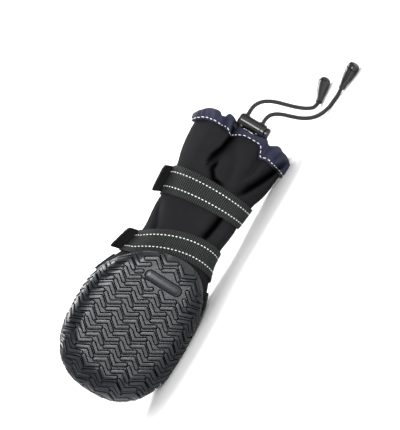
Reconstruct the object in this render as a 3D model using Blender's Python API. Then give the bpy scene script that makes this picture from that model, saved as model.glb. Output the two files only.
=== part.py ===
"""Dog boot, lying on its side: a rubber cup sole with boomerang lugs, a softshell upper, two webbing straps with
hook-tape ends, a band over the instep, and a gathered collar with its drawcord, cord lock and cord ends.

The boot is worked out in its own frame and then laid down. In its own frame x runs from the toe to the collar, y is
the depth behind the tread's face, towards the instep, and z is the side that ends up on top. Metres, +Z up.
"""

import math

import bmesh
import bpy
import numpy as np
from mathutils import Vector
from mathutils.geometry import delaunay_2d_cdt

# Sole
SOLE_LENGTH = 0.1170
SOLE_WIDTH = 0.0892
TOE_TO_WIDEST = 0.0575
TOE_SQUARENESS = 2.5
HEEL_SQUARENESS = 2.2
SOLE_WALL = 0.0020
EDGE_ROUND = 0.0130
RIM_HEIGHT = 0.0240
WALL_LEAN = math.radians(10)
BEAD_HEIGHT = 0.0034
BEAD_RELIEF = 0.0009
HEEL_FLAP = 0.0080

# Tread: two bent lugs to each cell of a slanted lattice
LUG_HEIGHT = 0.0014
LUG_WIDTH = 0.00265
LUG_DRAFT = 0.00018
LUG_CLEARANCE = 0.0008
CELL_ACROSS = (0.01030, -0.01668)
CELL_ALONG = (-0.01144, 0.00134)
LUG_BAR = (-0.00428, 0.00713)
LUG_LEG = (-0.00469, -0.00546)
SECOND_KNEE = (-0.00061, -0.00690)
FIRST_KNEE = (0.0171, 0.0117)

# Blank oblong pad on the tread, near the heel
PAD_LENGTH = 0.0295
PAD_WIDTH = 0.0076
PAD_CENTRE = (0.0381, -0.0050)

# Upper
UPPER_WALL = 0.0016
SHAFT_LENGTH = 0.0990
INSTEP_HEIGHT = 0.0500
ANKLE_WIDTH = 0.0574
COLLAR_WIDTH = 0.0745
UPPER_EDGE_ROUND = 0.0085
SOLE_MARGIN = 0.0110
INSOLE_THICKNESS = 0.0030
INSOLE_ROOM = 0.0012

# Straps, whose loops lean towards the toe by their tilt where they lie deeper than the hinge
WEBBING_WIDTH = 0.0200
WEBBING_THICKNESS = 0.0014
WEBBING_ROOM = 0.0005
LOWER_STRAP_AT = 0.0036
UPPER_STRAP_AT = 0.0485
LOWER_STRAP_TILT = math.radians(12)
UPPER_STRAP_TILT = math.radians(6)
STRAP_HINGE = 0.0115
INSTEP_BAND_AT = 0.0900
INSTEP_BAND_REACH = math.radians(100)
BAND_PRESS = 0.0050
END_LENGTH = 0.0085
END_TURN = 0.27
END_THICKNESS = 0.0018
END_STANDS_OFF = math.radians(50)
END_TRAIL = 0.25
END_INSET = 0.0008
END_ROOM = 0.0006

# Collar tunnel, drawcord and cord lock
TUNNEL_LEAF = 0.0055
TUNNEL_WALL = 0.0012
CORD_AT = 0.0024
CORD_JOIN = 0.0004
CORD_DIAMETER = 0.0030
CORD_ROOM = 0.0005
CORD_SPACING = 0.0126
LOCK_LENGTH = 0.0215
LOCK_DIAMETER = 0.0098
LOCK_WALL = 0.0011
LOCK_HOLE = 0.0038
PLUNGER_HEAD = 0.0034
PLUNGER_REST = 0.0005
BELL_LENGTH = 0.0180
BELL_WIDE = 0.0092
BELL_NARROW = 0.0050
CAP_LENGTH = 0.0040
BELL_OFF_FLOOR = 0.0001
FREE_ENDS = ("cord_", "end_cap_")

# How it lies
GAP = 0.0003
SKEW = 0.19
FLOOR_PRESS = 0.0008

# Fineness of the meshes
COLUMNS = 44
CORD_SIDES = 8
LOCK_SIDES = 14

BASE = LUG_HEIGHT + SOLE_WALL
HEEL_LIP = 0.0012

# The sole's side round the boot: where, as a share of a half turn from the toe, its rounded edge as a share of
# EDGE_ROUND, and its rim as a share of RIM_HEIGHT
SOLE_SIDE = (
    (0.00, 1.45, 1.17),
    (0.25, 1.25, 1.10),
    (0.50, 1.00, 1.00),
    (0.66, 0.90, 0.74),
    (0.80, 0.60, 0.42),
    (1.00, 0.31, 0.19),
)

# Loops of the last above the rim. Along: up to 1, a share of the sole's length, and past 1, of the shaft's.
# Depth and bow are shares of the instep's height. The last two say how much of the way the half width goes from
# the ankle's to the ball's or to the collar's.
LAST = (
    # instep along, instep depth, heel along, heel depth, bow, to the ball, to the collar
    (0.19, 0.87, 0.945, 0.205, 0.13, 0.870, 0.00),
    (0.42, 1.00, 0.960, 0.215, 0.08, 0.690, 0.00),
    (0.68, 1.01, 0.980, 0.222, 0.04, 0.400, 0.00),
    (0.88, 0.96, 1.015, 0.230, 0.01, 0.130, 0.00),
    (1.02, 0.94, 1.090, 0.240, 0.00, 0.000, 0.00),
    (1.21, 0.96, 1.260, 0.262, 0.00, 0.000, 0.00),
    (1.42, 1.02, 1.460, 0.280, 0.00, 0.000, 0.20),
    (1.60, 1.09, 1.645, 0.292, -0.02, 0.000, 0.40),
    (1.78, 1.17, 1.825, 0.300, -0.06, 0.000, 0.78),
    (1.89, 1.21, 1.925, 0.305, -0.13, 0.000, 0.95),
    (1.98, 1.23, 2.000, 0.310, -0.18, 0.000, 0.98),
)
LAST_SQUARENESS = 2.35

# Folds of the slack shaft: where round the boot at its upper end and at its lower end, as shares of a turn from
# the instep over the top side, its upper and lower ends as shares of the shaft, and its depth and its spread round
# the boot as shares of the collar's width
FOLDS = (
    # turn up, turn down, high, low, depth, spread
    (0.452, 0.462, 1.08, 0.62, 0.085, 0.050),
    (0.568, 0.548, 1.08, 0.70, 0.070, 0.055),
    (0.655, 0.600, 1.08, 0.55, 0.060, 0.060),
    (0.355, 0.375, 1.08, 0.80, 0.045, 0.055),
    (0.060, 0.050, 1.08, 0.55, 0.075, 0.060),
    (0.190, 0.160, 1.08, 0.75, 0.045, 0.060),
    (0.920, 0.940, 1.08, 0.60, 0.080, 0.060),
    (0.800, 0.830, 1.08, 0.75, 0.045, 0.060),
)

# Routes of the two free cords: how far out along +X, how far aside along +Y, and the height left above the floor as
# a share of the height at the cord lock
CORD_ROUTES = (
    (
        (0.0000, 0.0000, 1.000), (0.0045, 0.0000, 1.000), (0.0088, 0.0003, 0.978), (0.0130, 0.0010, 0.915),
        (0.0163, 0.0022, 0.815), (0.0186, 0.0036, 0.700), (0.0204, 0.0052, 0.575), (0.0221, 0.0070, 0.445),
        (0.0241, 0.0090, 0.315), (0.0268, 0.0115, 0.180), (0.0305, 0.0144, 0.070), (0.0358, 0.0178, 0.025),
    ),
    (
        (0.0000, 0.0000, 1.000), (0.0040, 0.0000, 0.995), (0.0078, -0.0006, 0.955), (0.0108, -0.0018, 0.860),
        (0.0130, -0.0034, 0.730), (0.0147, -0.0053, 0.580), (0.0166, -0.0073, 0.425), (0.0192, -0.0093, 0.275),
        (0.0230, -0.0114, 0.145), (0.0283, -0.0137, 0.050), (0.0345, -0.0162, 0.004), (0.0400, -0.0184, 0.000),
        (0.0455, -0.0211, 0.006), (0.0502, -0.0241, 0.034),
    ),
)


def curve_through(keys, values, at):
    """A smooth curve through values at keys, with each key's slope taken from its neighbours."""
    keys, values, at = (np.asarray(item, float) for item in (keys, values, at))
    slopes = np.gradient(values, keys, axis=0)
    left = np.clip(np.searchsorted(keys, at, side="right") - 1, 0, len(keys) - 2)
    span = keys[left + 1] - keys[left]
    share = (at - keys[left]) / span
    shape = share.shape + (1,) * (values.ndim - 1)
    share, span = share.reshape(shape), span.reshape(shape)
    return (
        (1 + 2 * share) * (1 - share) ** 2 * values[left]
        + share * (1 - share) ** 2 * span * slopes[left]
        + share**2 * (3 - 2 * share) * values[left + 1]
        + share**2 * (share - 1) * span * slopes[left + 1]
    )


def smooth_step(value, low, high):
    share = np.clip((value - low) / (high - low), 0, 1)
    return share * share * (3 - 2 * share)


def unit(vectors):
    return vectors / np.linalg.norm(vectors, axis=-1, keepdims=True)


def turns(columns):
    return np.arange(columns) * 2 * math.pi / columns


def egg(turn, toe, heel, half, toe_square, heel_square):
    """Two half superellipses that meet at the widest place: how far along and across each point lies from there."""
    ahead = np.cos(turn) >= 0
    power = 2 / np.where(ahead, toe_square, heel_square)
    along = np.where(ahead, -toe, heel) * np.abs(np.cos(turn)) ** power
    across = half * np.sign(np.sin(turn)) * np.abs(np.sin(turn)) ** power
    return along, across


def side_of_sole(turn):
    """The radius of the sole's rounded edge and the depth of its rim, round the boot."""
    from_toe = np.abs((turn / math.pi + 1) % 2 - 1)
    table = np.array(SOLE_SIDE)
    edge, rim = curve_through(table[:, 0], table[:, 1:], from_toe).T
    edge = edge * EDGE_ROUND
    return edge, np.maximum(rim * RIM_HEIGHT, np.maximum(edge, BASE) + HEEL_LIP / 2)


def inside_outline(depth, edge, inset):
    """How far inside the sole's outline its side lies at a depth: a rounded edge, then a wall that leans in."""
    radius = np.maximum(edge - inset, 0)
    past = depth - edge
    round_end = radius * math.sin(WALL_LEAN)
    rounded = edge - np.sqrt(np.maximum(radius**2 - np.minimum(past, round_end) ** 2, 0))
    leaning = np.maximum(past - round_end, 0) * math.tan(WALL_LEAN)
    return rounded + leaning + np.maximum(inset - edge, 0)


def cup_point(turn, depth, inset, edge, extra=0.0):
    """Points of the cup's side, this far in from the surface that the lugs' tops lie on."""
    inside = inside_outline(depth, edge, inset) + extra
    along, across = egg(
        turn,
        TOE_TO_WIDEST - inside,
        SOLE_LENGTH - TOE_TO_WIDEST - inside,
        SOLE_WIDTH / 2 - inside,
        TOE_SQUARENESS,
        HEEL_SQUARENESS,
    )
    return np.stack([TOE_TO_WIDEST + along, np.broadcast_to(depth, along.shape), across], -1)


def along_boot(share):
    return SOLE_LENGTH * min(share, 1.0) + SHAFT_LENGTH * max(share - 1.0, 0.0)


def last_loop(turn, row):
    """One loop of the last above the rim, in a plane through its instep point and its heel point."""
    instep_along, instep_depth, heel_along, heel_depth, bow, to_ball, to_collar = row
    instep = np.array([along_boot(instep_along), instep_depth * INSTEP_HEIGHT])
    heel = np.array([along_boot(heel_along), heel_depth * INSTEP_HEIGHT])
    half = (
        ANKLE_WIDTH + to_ball * (SOLE_WIDTH - ANKLE_WIDTH) + to_collar * (COLLAR_WIDTH - ANKLE_WIDTH)
    ) / 2
    reach = np.linalg.norm(instep - heel) / 2
    towards_instep = (instep - heel) / (2 * reach)
    onwards = np.array([towards_instep[1], -towards_instep[0]])
    along, across = egg(turn, reach, reach, half, LAST_SQUARENESS, LAST_SQUARENESS)
    bowed = bow * INSTEP_HEIGHT * np.sin(turn) ** 2
    plane = (instep + heel) / 2 - np.outer(along, towards_instep) + np.outer(bowed, onwards)
    return np.stack([plane[:, 0], plane[:, 1], across], -1)


def tuck_heel(points):
    """Draws the upper's heel in from the sole's, which leaves the sole's heel flap standing free."""
    start = 0.80 * SOLE_LENGTH
    end = SOLE_LENGTH - BASE
    along = points[..., 0]
    drawn = start + (along - start) * (end - HEEL_FLAP - start) / (end - start)
    points[..., 0] = np.where(along > start, drawn, along)
    return points


CUP_ROWS = (0.0, 0.10, 0.32, 0.64, 1.0)


def cup_loops(turn, inset, edge, rim):
    """Loops of the cup's side from its floor to its rim, this far in from the surface that the lugs' tops lie on."""
    return [cup_point(turn, inset + (rim - inset) * share, inset, edge) for share in CUP_ROWS]


def last_keys(turn):
    """Loops of the upper's outside, from the edge of its opening over the sole to the collar's edge."""
    inset = BASE + GAP
    edge, rim = side_of_sole(turn)
    edge = np.maximum(edge, UPPER_EDGE_ROUND)
    rim = np.maximum(rim + GAP, edge + GAP)
    opening = cup_point(turn, np.full_like(turn, inset), inset, edge, SOLE_MARGIN)
    loops = [tuck_heel(loop) for loop in [opening] + cup_loops(turn, inset, edge, rim)]
    loops += [last_loop(turn, row) for row in LAST]
    return np.array(loops)


def grid_normals(points):
    """Outward normals of a grid whose columns run round the boot and whose rows run up it."""
    up = np.gradient(points, axis=0)
    round_boot = np.roll(points, -1, axis=1) - np.roll(points, 1, axis=1)
    return unit(np.cross(round_boot, up))


def fold_depth(turn, along):
    """How far the shaft's folds draw its surface in."""
    share = (along - SOLE_LENGTH) / SHAFT_LENGTH
    turn_share = (turn / (2 * math.pi)) % 1
    depth = np.zeros_like(along)
    for turn_up, turn_down, high, low, deep, spread in FOLDS:
        height = np.clip((share - low) / (high - low), 0, 1)
        centre = turn_down + (turn_up - turn_down) * height
        away = np.abs((turn_share - centre + 0.5) % 1 - 0.5) / spread
        depth += deep * COLLAR_WIDTH * np.exp(-(away**2)) * smooth_step(share, low, high)
    return depth


def last_surface(rows, turn):
    """The upper's outside at these rows and turns, and its normals and directions up the boot."""
    keys = last_keys(turn)
    plain = curve_through(np.arange(len(keys)), keys, np.asarray(rows, float))
    normals = grid_normals(plain)
    folded = plain - normals * fold_depth(turn[None, :], plain[..., 0])[..., None]
    normals = grid_normals(folded)
    return folded, normals, unit(np.gradient(folded, axis=0))


FIRST_FREE_ROW = 1 + len(CUP_ROWS)
TOP_ROW = FIRST_FREE_ROW + len(LAST) - 1


def skewed(points):
    """The set that the slack ankle has taken: lengths on the top side are drawn towards the toe."""
    share = smooth_step(points[..., 0], 0.55 * SOLE_LENGTH, 0.98 * SOLE_LENGTH)
    fading = 1 - smooth_step(points[..., 0], SOLE_LENGTH + 0.12 * SHAFT_LENGTH, SOLE_LENGTH + 0.75 * SHAFT_LENGTH)
    moved = points.copy()
    moved[..., 0] -= SKEW * share * fading * points[..., 2]
    return moved


class Lie:
    """How the boot lies: leant back until the sole's side is flat on the floor, then turned level and pressed."""

    def __init__(self, sole_points, collar_points):
        self.turned = np.eye(3)
        self.lift = 0.0
        for _ in range(4):
            sole = self.rotated(sole_points)
            collar = self.rotated(collar_points)
            low_sole = sole[sole[:, 2].argmin()]
            low_collar = collar[collar[:, 2].argmin()]
            slope = math.atan2(low_collar[2] - low_sole[2], low_collar[0] - low_sole[0])
            level = np.array(
                [[math.cos(slope), 0, math.sin(slope)], [0, 1, 0], [-math.sin(slope), 0, math.cos(slope)]]
            )
            self.turned = level @ self.turned
        lowest = self.rotated(sole_points)[:, 2].min()
        self.lift = -lowest - FLOOR_PRESS

    def rotated(self, points):
        lean = np.array(
            [
                [1, 0, 0],
                [0, math.cos(WALL_LEAN), math.sin(WALL_LEAN)],
                [0, -math.sin(WALL_LEAN), math.cos(WALL_LEAN)],
            ]
        )
        return skewed(points) @ (self.turned @ lean).T

    def place(self, points, floor=0.0):
        placed = self.rotated(points)
        placed[..., 2] = np.maximum(placed[..., 2] + self.lift, floor)
        return placed


def material(name, colour, roughness, metallic=0.0):
    finish = bpy.data.materials.new(name)
    finish.use_nodes = True
    shader = finish.node_tree.nodes["Principled BSDF"]
    shader.inputs["Base Color"].default_value = (*colour, 1)
    shader.inputs["Roughness"].default_value = roughness
    shader.inputs["Metallic"].default_value = metallic
    return finish


def add_solid(name, points, faces, finish, sharp=40):
    """An object of this shape, its faces turned outwards and its round stretches shaded smooth."""
    shape = bmesh.new()
    corners = [shape.verts.new(point) for point in points.tolist()]
    for face in faces:
        shape.faces.new([corners[index] for index in face])
    bmesh.ops.delete(shape, geom=[corner for corner in shape.verts if not corner.link_faces], context="VERTS")
    bmesh.ops.recalc_face_normals(shape, faces=shape.faces)
    mesh = bpy.data.meshes.new(name)
    shape.to_mesh(mesh)
    shape.free()
    mesh.shade_smooth()
    mesh.set_sharp_from_angle(angle=math.radians(sharp))
    if finish:
        mesh.materials.append(finish)
    made = bpy.data.objects.new(name, mesh)
    bpy.context.scene.collection.objects.link(made)
    return made


def wall_faces(keep, columns, under):
    """Faces of a wall between two surfaces on one grid, with its edges closed. keep says which squares there are."""
    faces = []
    open_edges = {}
    for row, column in np.argwhere(keep):
        right = (column + 1) % columns
        square = (row * columns + column, row * columns + right, (row + 1) * columns + right)
        square += ((row + 1) * columns + column,)
        faces.append(square)
        faces.append(tuple(under + index for index in reversed(square)))
        for edge in zip(square, square[1:] + square[:1]):
            if edge[::-1] in open_edges:
                del open_edges[edge[::-1]]
            else:
                open_edges[edge] = True
    faces += [(end, start, under + start, under + end) for start, end in open_edges]
    return faces


def wall_solid(name, outer, inner, finish, keep=None, sharp=40):
    """A wall between an outer and an inner grid that go round, left out where keep is False."""
    rows, columns = outer.shape[:2]
    if keep is None:
        keep = np.ones((rows - 1, columns), bool)
    points = np.concatenate([outer.reshape(-1, 3), inner.reshape(-1, 3)])
    return add_solid(name, points, wall_faces(keep, columns, rows * columns), finish, sharp)


def loft_faces(loops, count, start=0):
    """Faces between neighbouring loops of as many points, numbered one loop after another."""
    return [
        (
            start + loop * count + column,
            start + loop * count + (column + 1) % count,
            start + (loop + 1) * count + (column + 1) % count,
            start + (loop + 1) * count + column,
        )
        for loop in range(loops - 1)
        for column in range(count)
    ]


class Tread:
    """The pattern's plane, wrapped over the cup: straight out from the sole's centre and down over its side."""

    def __init__(self):
        self.turn = np.linspace(-math.pi, math.pi, 1441)
        self.edge, self.rim = side_of_sole(self.turn)
        flat = cup_point(self.turn, np.zeros_like(self.turn), 0.0, self.edge)
        self.flat_reach = np.hypot(flat[:, 0] - TOE_TO_WIDEST, flat[:, 2])
        self.heading = np.unwrap(np.arctan2(flat[:, 2], TOE_TO_WIDEST - flat[:, 0]))
        quarter = self.edge * (math.pi / 2 + WALL_LEAN)
        round_depth = self.edge * (1 + math.sin(WALL_LEAN))
        self.limit = self.rim - BEAD_HEIGHT
        within = np.arccos(np.clip(1 - self.limit / self.edge, -1, 1)) * self.edge
        beyond = quarter + (self.limit - round_depth) / math.cos(WALL_LEAN)
        self.reach = self.flat_reach + np.where(self.limit < round_depth, within, beyond)

    def at(self, values, heading):
        return np.interp(heading, self.heading, values)

    def surface(self, plane, height):
        """Points over pattern points (toe to heel, across), each this high above the lugs' base."""
        heading = np.arctan2(plane[:, 1], -plane[:, 0])
        past = np.maximum(np.hypot(plane[:, 0], plane[:, 1]) - self.at(self.flat_reach, heading), 0)
        turn, edge = self.at(self.turn, heading), self.at(self.edge, heading)
        bend = np.minimum(past / edge, math.pi / 2 + WALL_LEAN)
        straight = past - bend * edge
        depth = edge * (1 - np.cos(bend)) + straight * math.cos(WALL_LEAN)
        on_side = cup_point(turn, depth, 0.0, edge)
        flat = np.stack([TOE_TO_WIDEST + plane[:, 0], np.zeros(len(plane)), plane[:, 1]], -1)
        points = np.where((past > 0)[:, None], on_side, flat)
        outwards = np.stack(
            [np.cos(heading) * np.sin(bend), np.cos(bend), -np.sin(heading) * np.sin(bend)], -1
        )
        return points + outwards * (LUG_HEIGHT - height)[:, None]

    def holds(self, plane, margin=LUG_CLEARANCE):
        heading = np.arctan2(plane[:, 1], -plane[:, 0])
        return np.hypot(plane[:, 0], plane[:, 1]) < self.at(self.reach, heading) - margin


def strip_outline(path, width):
    """The outline of a strip of even width along a path of straight runs."""
    path = np.asarray(path, float)
    runs = unit(np.diff(path, axis=0))
    across = np.stack([-runs[:, 1], runs[:, 0]], -1)
    first, last = across[:1], across[-1:]
    between = across[:-1] + across[1:]
    between = between / (between * across[1:]).sum(1, keepdims=True)
    shift = np.concatenate([first, between, last]) * width / 2
    return np.concatenate([path + shift, (path - shift)[::-1]])


def unskewed(plane):
    """Pattern points that the skewed ankle brings back to where the even pattern has them."""
    points = np.stack([TOE_TO_WIDEST + plane[:, 0], np.zeros(len(plane)), plane[:, 1]], -1)
    return plane - (skewed(points) - points)[:, [0, 2]]


def pad_outline(grow):
    """The oblong pad: two straight sides and two half-round ends."""
    arc = np.linspace(-math.pi / 2, math.pi / 2, 7)
    radius = PAD_WIDTH / 2 + grow
    reach = (PAD_LENGTH - PAD_WIDTH) / 2
    one_end = np.stack([radius * np.sin(arc), reach + radius * np.cos(arc)], -1)
    outline = np.concatenate([one_end, -one_end])
    return outline[::-1] + np.array(PAD_CENTRE)


def lug_paths(tread):
    """The centre lines of the lugs that lie on the tread: whole, or cut short to one arm at its border."""
    knee, bar, leg = np.array(FIRST_KNEE), np.array(LUG_BAR), np.array(LUG_LEG)
    cells = range(-9, 10)
    for step_across in cells:
        for step_along in cells:
            at = knee + step_across * np.array(CELL_ACROSS) + step_along * np.array(CELL_ALONG)
            for corner, way in ((at, 1), (at + np.array(SECOND_KNEE), -1)):
                whole = [corner + way * bar, corner, corner + way * leg]
                for path in (whole, whole[:2], whole[1:]):
                    outline = strip_outline(unskewed(np.array(path)), LUG_WIDTH)
                    if tread.holds(outline).all() and clear_of_pad(path):
                        yield path
                        break


def clear_of_pad(path):
    """Whether a lug's centre line keeps off the oblong pad."""
    samples = np.concatenate([np.linspace(path[i], path[i + 1], 9) for i in range(len(path) - 1)])
    away = samples - np.array(PAD_CENTRE)
    reach = (PAD_LENGTH - PAD_WIDTH) / 2
    away[:, 1] -= np.clip(away[:, 1], -reach, reach)
    return bool(np.hypot(*away.T).min() > (PAD_WIDTH + LUG_WIDTH) / 2 + LUG_CLEARANCE)


def tread_mesh(tread, border):
    """The tread in the pattern's plane as triangles, and how far each point stands above the lugs' base."""
    points, heights, edges = [border], [np.zeros(len(border))], []

    def ring(outline, height):
        start = sum(len(part) for part in points)
        points.append(outline)
        heights.append(np.full(len(outline), height))
        edges.extend((start + i, start + (i + 1) % len(outline)) for i in range(len(outline)))

    edges.extend((i, (i + 1) % len(border)) for i in range(len(border)))
    for path in lug_paths(tread):
        ring(strip_outline(unskewed(np.array(path)), LUG_WIDTH), 0.0)
        path = np.array(path)
        path[[0, -1]] += LUG_DRAFT * unit(np.stack([path[1] - path[0], path[-2] - path[-1]]))
        ring(strip_outline(unskewed(path), LUG_WIDTH - 2 * LUG_DRAFT), LUG_HEIGHT)
    ring(unskewed(pad_outline(0.0)), 0.0)
    ring(unskewed(pad_outline(-LUG_DRAFT)), LUG_HEIGHT)
    plane = np.concatenate(points)
    height = np.concatenate(heights)
    found = delaunay_2d_cdt([Vector(point) for point in plane.tolist()], edges, [], 0, 1e-7)
    origins = [sources[0] if sources else -1 for sources in found[3]]
    triangles = np.array([[origins[corner] for corner in face] for face in found[2]])
    middles = plane[triangles].mean(1)
    return plane, height, triangles[tread.holds(middles, 0.0)]


def outsole_solid(tread, lie, finish):
    """The rubber cup: lugs and tread outside, a bead along the rim, an even wall, and a flat floor inside."""
    turn = turns(COLUMNS)
    edge, rim = side_of_sole(turn)
    around = tread.at(tread.reach, tread_heading(tread, turn))
    heading = tread_heading(tread, turn)
    border = np.stack([-np.cos(heading) * around, np.sin(heading) * around], -1)
    plane, height, triangles = tread_mesh(tread, border)
    outside = tread.surface(plane, height)
    rings = [
        cup_point(turn, rim - BEAD_HEIGHT * 0.92, LUG_HEIGHT - BEAD_RELIEF, edge),
        cup_point(turn, rim - BEAD_HEIGHT * 0.15, LUG_HEIGHT - BEAD_RELIEF, edge),
        cup_point(turn, rim, LUG_HEIGHT, edge),
    ]
    rings += cup_loops(turn, BASE, edge, rim)[::-1]
    points = np.concatenate([outside] + rings)
    count, start = COLUMNS, len(outside)
    faces = [tuple(face) for face in triangles.tolist()]
    faces += [(i, (i + 1) % count, start + (i + 1) % count, start + i) for i in range(count)]
    faces += loft_faces(len(rings), count, start)
    faces.append(tuple(range(start + (len(rings) - 1) * count, start + len(rings) * count)))
    return add_solid("outsole", lie.place(points), faces, finish, 30)


def tread_heading(tread, turn):
    return np.interp((turn + math.pi) % (2 * math.pi) - math.pi, tread.turn, tread.heading)


def upper_solid(lie, finish):
    rows = np.concatenate(
        [np.arange(0, FIRST_FREE_ROW), np.linspace(FIRST_FREE_ROW - 0.4, TOP_ROW, 12)]
    )
    outer, normals, _ = last_surface(rows, turns(COLUMNS))
    from_band = np.abs(outer[..., 0] - INSTEP_BAND_AT) - WEBBING_WIDTH / 2
    under_band = 1 - smooth_step(from_band, BAND_PRESS, 2 * BAND_PRESS)
    floor = under_band * (WEBBING_THICKNESS + WEBBING_ROOM)
    inner = lie.place(outer - normals * UPPER_WALL, floor + UPPER_WALL)
    return wall_solid("upper", lie.place(outer, floor), inner, finish)


def insole_solid(lie, finish):
    """A thin pad on the upper's turned-in margin, with a rounded rim that follows the cup."""
    turn = turns(COLUMNS)
    edge = np.maximum(side_of_sole(turn)[0], UPPER_EDGE_ROUND)
    low = BASE + UPPER_WALL + 2 * GAP
    high = low + INSOLE_THICKNESS
    loops = [
        tuck_heel(cup_point(turn, np.full_like(turn, low), low, edge, SOLE_MARGIN)),
        tuck_heel(cup_point(turn, np.full_like(turn, low), low, edge, INSOLE_ROOM)),
        tuck_heel(cup_point(turn, np.full_like(turn, (low + high) / 2), low, edge, INSOLE_ROOM)),
        tuck_heel(cup_point(turn, np.full_like(turn, high), low, edge, 2 * INSOLE_ROOM)),
    ]
    faces = loft_faces(len(loops), COLUMNS)
    faces.append(tuple(reversed(range(COLUMNS))))
    faces.append(tuple(range((len(loops) - 1) * COLUMNS, len(loops) * COLUMNS)))
    return add_solid("insole", lie.place(np.concatenate(loops)), faces, finish)


def outline_band(lengths, offset, tilt=0.0):
    """Loops round the plain last at these lengths along the boot, moved outwards: taut webbing bridges the folds.

    Each loop lies in a plane, which leans towards the toe as it gets deeper than STRAP_HINGE.
    """
    turn = turns(COLUMNS)
    keys = last_keys(turn)
    rows = np.linspace(FIRST_FREE_ROW - 1, TOP_ROW, 141)
    plain = curve_through(np.arange(len(keys)), keys, rows)
    moved = plain + grid_normals(plain) * offset
    loops = np.empty((len(lengths), COLUMNS, 3))
    level = moved[..., 0] + (moved[..., 1] - STRAP_HINGE) * math.tan(tilt)
    for column in range(COLUMNS):
        for axis in range(3):
            loops[:, column, axis] = np.interp(lengths, level[:, column], moved[:, column, axis])
    return loops


def strap_lengths(at):
    """Where along the boot the loops of a strap lie, whose middle is this far up the shaft."""
    return SOLE_LENGTH + at + WEBBING_WIDTH * np.array([-0.5, 0.5])


def strap_solid(name, at, tilt, lie, finish):
    inner = outline_band(strap_lengths(at), WEBBING_ROOM, tilt)
    outer = outline_band(strap_lengths(at), WEBBING_ROOM + WEBBING_THICKNESS, tilt)
    return wall_solid(name, lie.place(outer), lie.place(inner, WEBBING_THICKNESS), finish)


def strap_end_solid(name, at, tilt, lie, finish):
    """The hook-tape end: a flat tongue that starts on the strap and stands off it."""
    column = int(round(END_TURN * COLUMNS))
    band = outline_band(strap_lengths(at), WEBBING_ROOM + GAP + WEBBING_THICKNESS, tilt)
    low, high = band[0, column], band[-1, column]
    outwards = grid_normals(band)[0, column]
    round_boot = unit(band[0, column + 1] - band[0, column - 1])
    away = unit(round_boot * math.cos(END_STANDS_OFF) + outwards * math.sin(END_STANDS_OFF))
    away = away - np.array([END_TRAIL, 0, 0])
    across = unit(np.cross(high - low, away))
    if across @ outwards < 0:
        across = -across
    inset = unit(high - low) * END_INSET
    corners = []
    for lift in (0.0, END_THICKNESS):
        foot = lift * across + outwards * END_ROOM
        corners += [low + inset + foot, low + inset + away * END_LENGTH + foot]
        corners += [high - inset + away * END_LENGTH + foot, high - inset + foot]
    faces = [(0, 1, 2, 3), (7, 6, 5, 4), (0, 4, 5, 1), (1, 5, 6, 2), (2, 6, 7, 3), (3, 7, 4, 0)]
    return add_solid(name, lie.place(np.array(corners)), faces, finish)


def instep_band_solid(lie, finish):
    """Webbing over the instep, from behind the sole's side on one hand to behind it on the other."""
    lengths = INSTEP_BAND_AT + WEBBING_WIDTH * np.linspace(-0.5, 0.5, 3)
    inner = outline_band(lengths, WEBBING_ROOM)
    outer = outline_band(lengths, WEBBING_ROOM + WEBBING_THICKNESS)
    over_instep = np.cos(turns(COLUMNS) + math.pi / COLUMNS) > math.cos(INSTEP_BAND_REACH)
    keep = np.broadcast_to(over_instep, (len(lengths) - 1, COLUMNS))
    return wall_solid("instep_band", lie.place(outer), lie.place(inner, WEBBING_THICKNESS), finish, keep)


def collar_frame(turn):
    """The collar's edge: its points, outward normals, and directions up the boot square to the edge."""
    points, normals, up = (part[-1] for part in last_surface(np.linspace(TOP_ROW - 1, TOP_ROW, 9), turn))
    along_edge = unit(np.roll(points, -1, axis=0) - np.roll(points, 1, axis=0))
    up = unit(up - along_edge * (up * along_edge).sum(1, keepdims=True))
    return points, normals, up


def tunnel_turns():
    """Turns for the tunnel's columns, with two pairs at the front that leave one square for each cord to come out."""
    fine = np.linspace(0.86 * math.pi, 1.14 * math.pi, 121)
    across = collar_frame(fine)[0][:, 2]
    half = CORD_DIAMETER / 2 + CORD_ROOM
    wanted = np.array([1, 1, 0, -1, -1]) * CORD_SPACING / 2 + np.array([1, -1, 0, 1, -1]) * half
    front = np.interp(-wanted, -across, fine)
    even = turns(COLUMNS)
    spare = 0.6 * (even[1] - even[0])
    kept = even[(even < front[0] - spare) | (even > front[-1] + spare)]
    turn = np.sort(np.concatenate([kept, front]))
    exits = [int(np.searchsorted(turn, front[0])), int(np.searchsorted(turn, front[3]))]
    return turn, exits


def tunnel_profile(grow):
    """The folded band across the collar's edge, as (up the boot, outwards) from the shaft's outside."""
    middle = -UPPER_WALL / 2
    radius = (CORD_DIAMETER / 2 + CORD_ROOM + grow) / math.cos(math.pi / 8)
    bends = np.linspace(math.pi / 2, -math.pi / 2, 5)
    fold = np.stack([CORD_AT + radius * np.cos(bends), middle + radius * np.sin(bends)], -1)
    leaf = UPPER_WALL / 2 + GAP + grow
    return np.concatenate([[[-TUNNEL_LEAF, middle + leaf]], fold, [[-TUNNEL_LEAF, middle - leaf]]])


def tunnel_loops(turn, grow):
    edge, normals, up = collar_frame(turn)
    return np.array([edge + up * ahead + normals * outwards for ahead, outwards in tunnel_profile(grow)])


def tunnel_solid(lie, finish):
    turn, exits = tunnel_turns()
    outer = lie.place(tunnel_loops(turn, TUNNEL_WALL))
    inner = lie.place(tunnel_loops(turn, 0.0), TUNNEL_WALL)
    keep = np.ones((len(outer) - 1, len(turn)), bool)
    for column in exits:
        keep[2:4, column] = False
    return wall_solid("collar_tunnel", outer, inner, finish, keep)


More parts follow.
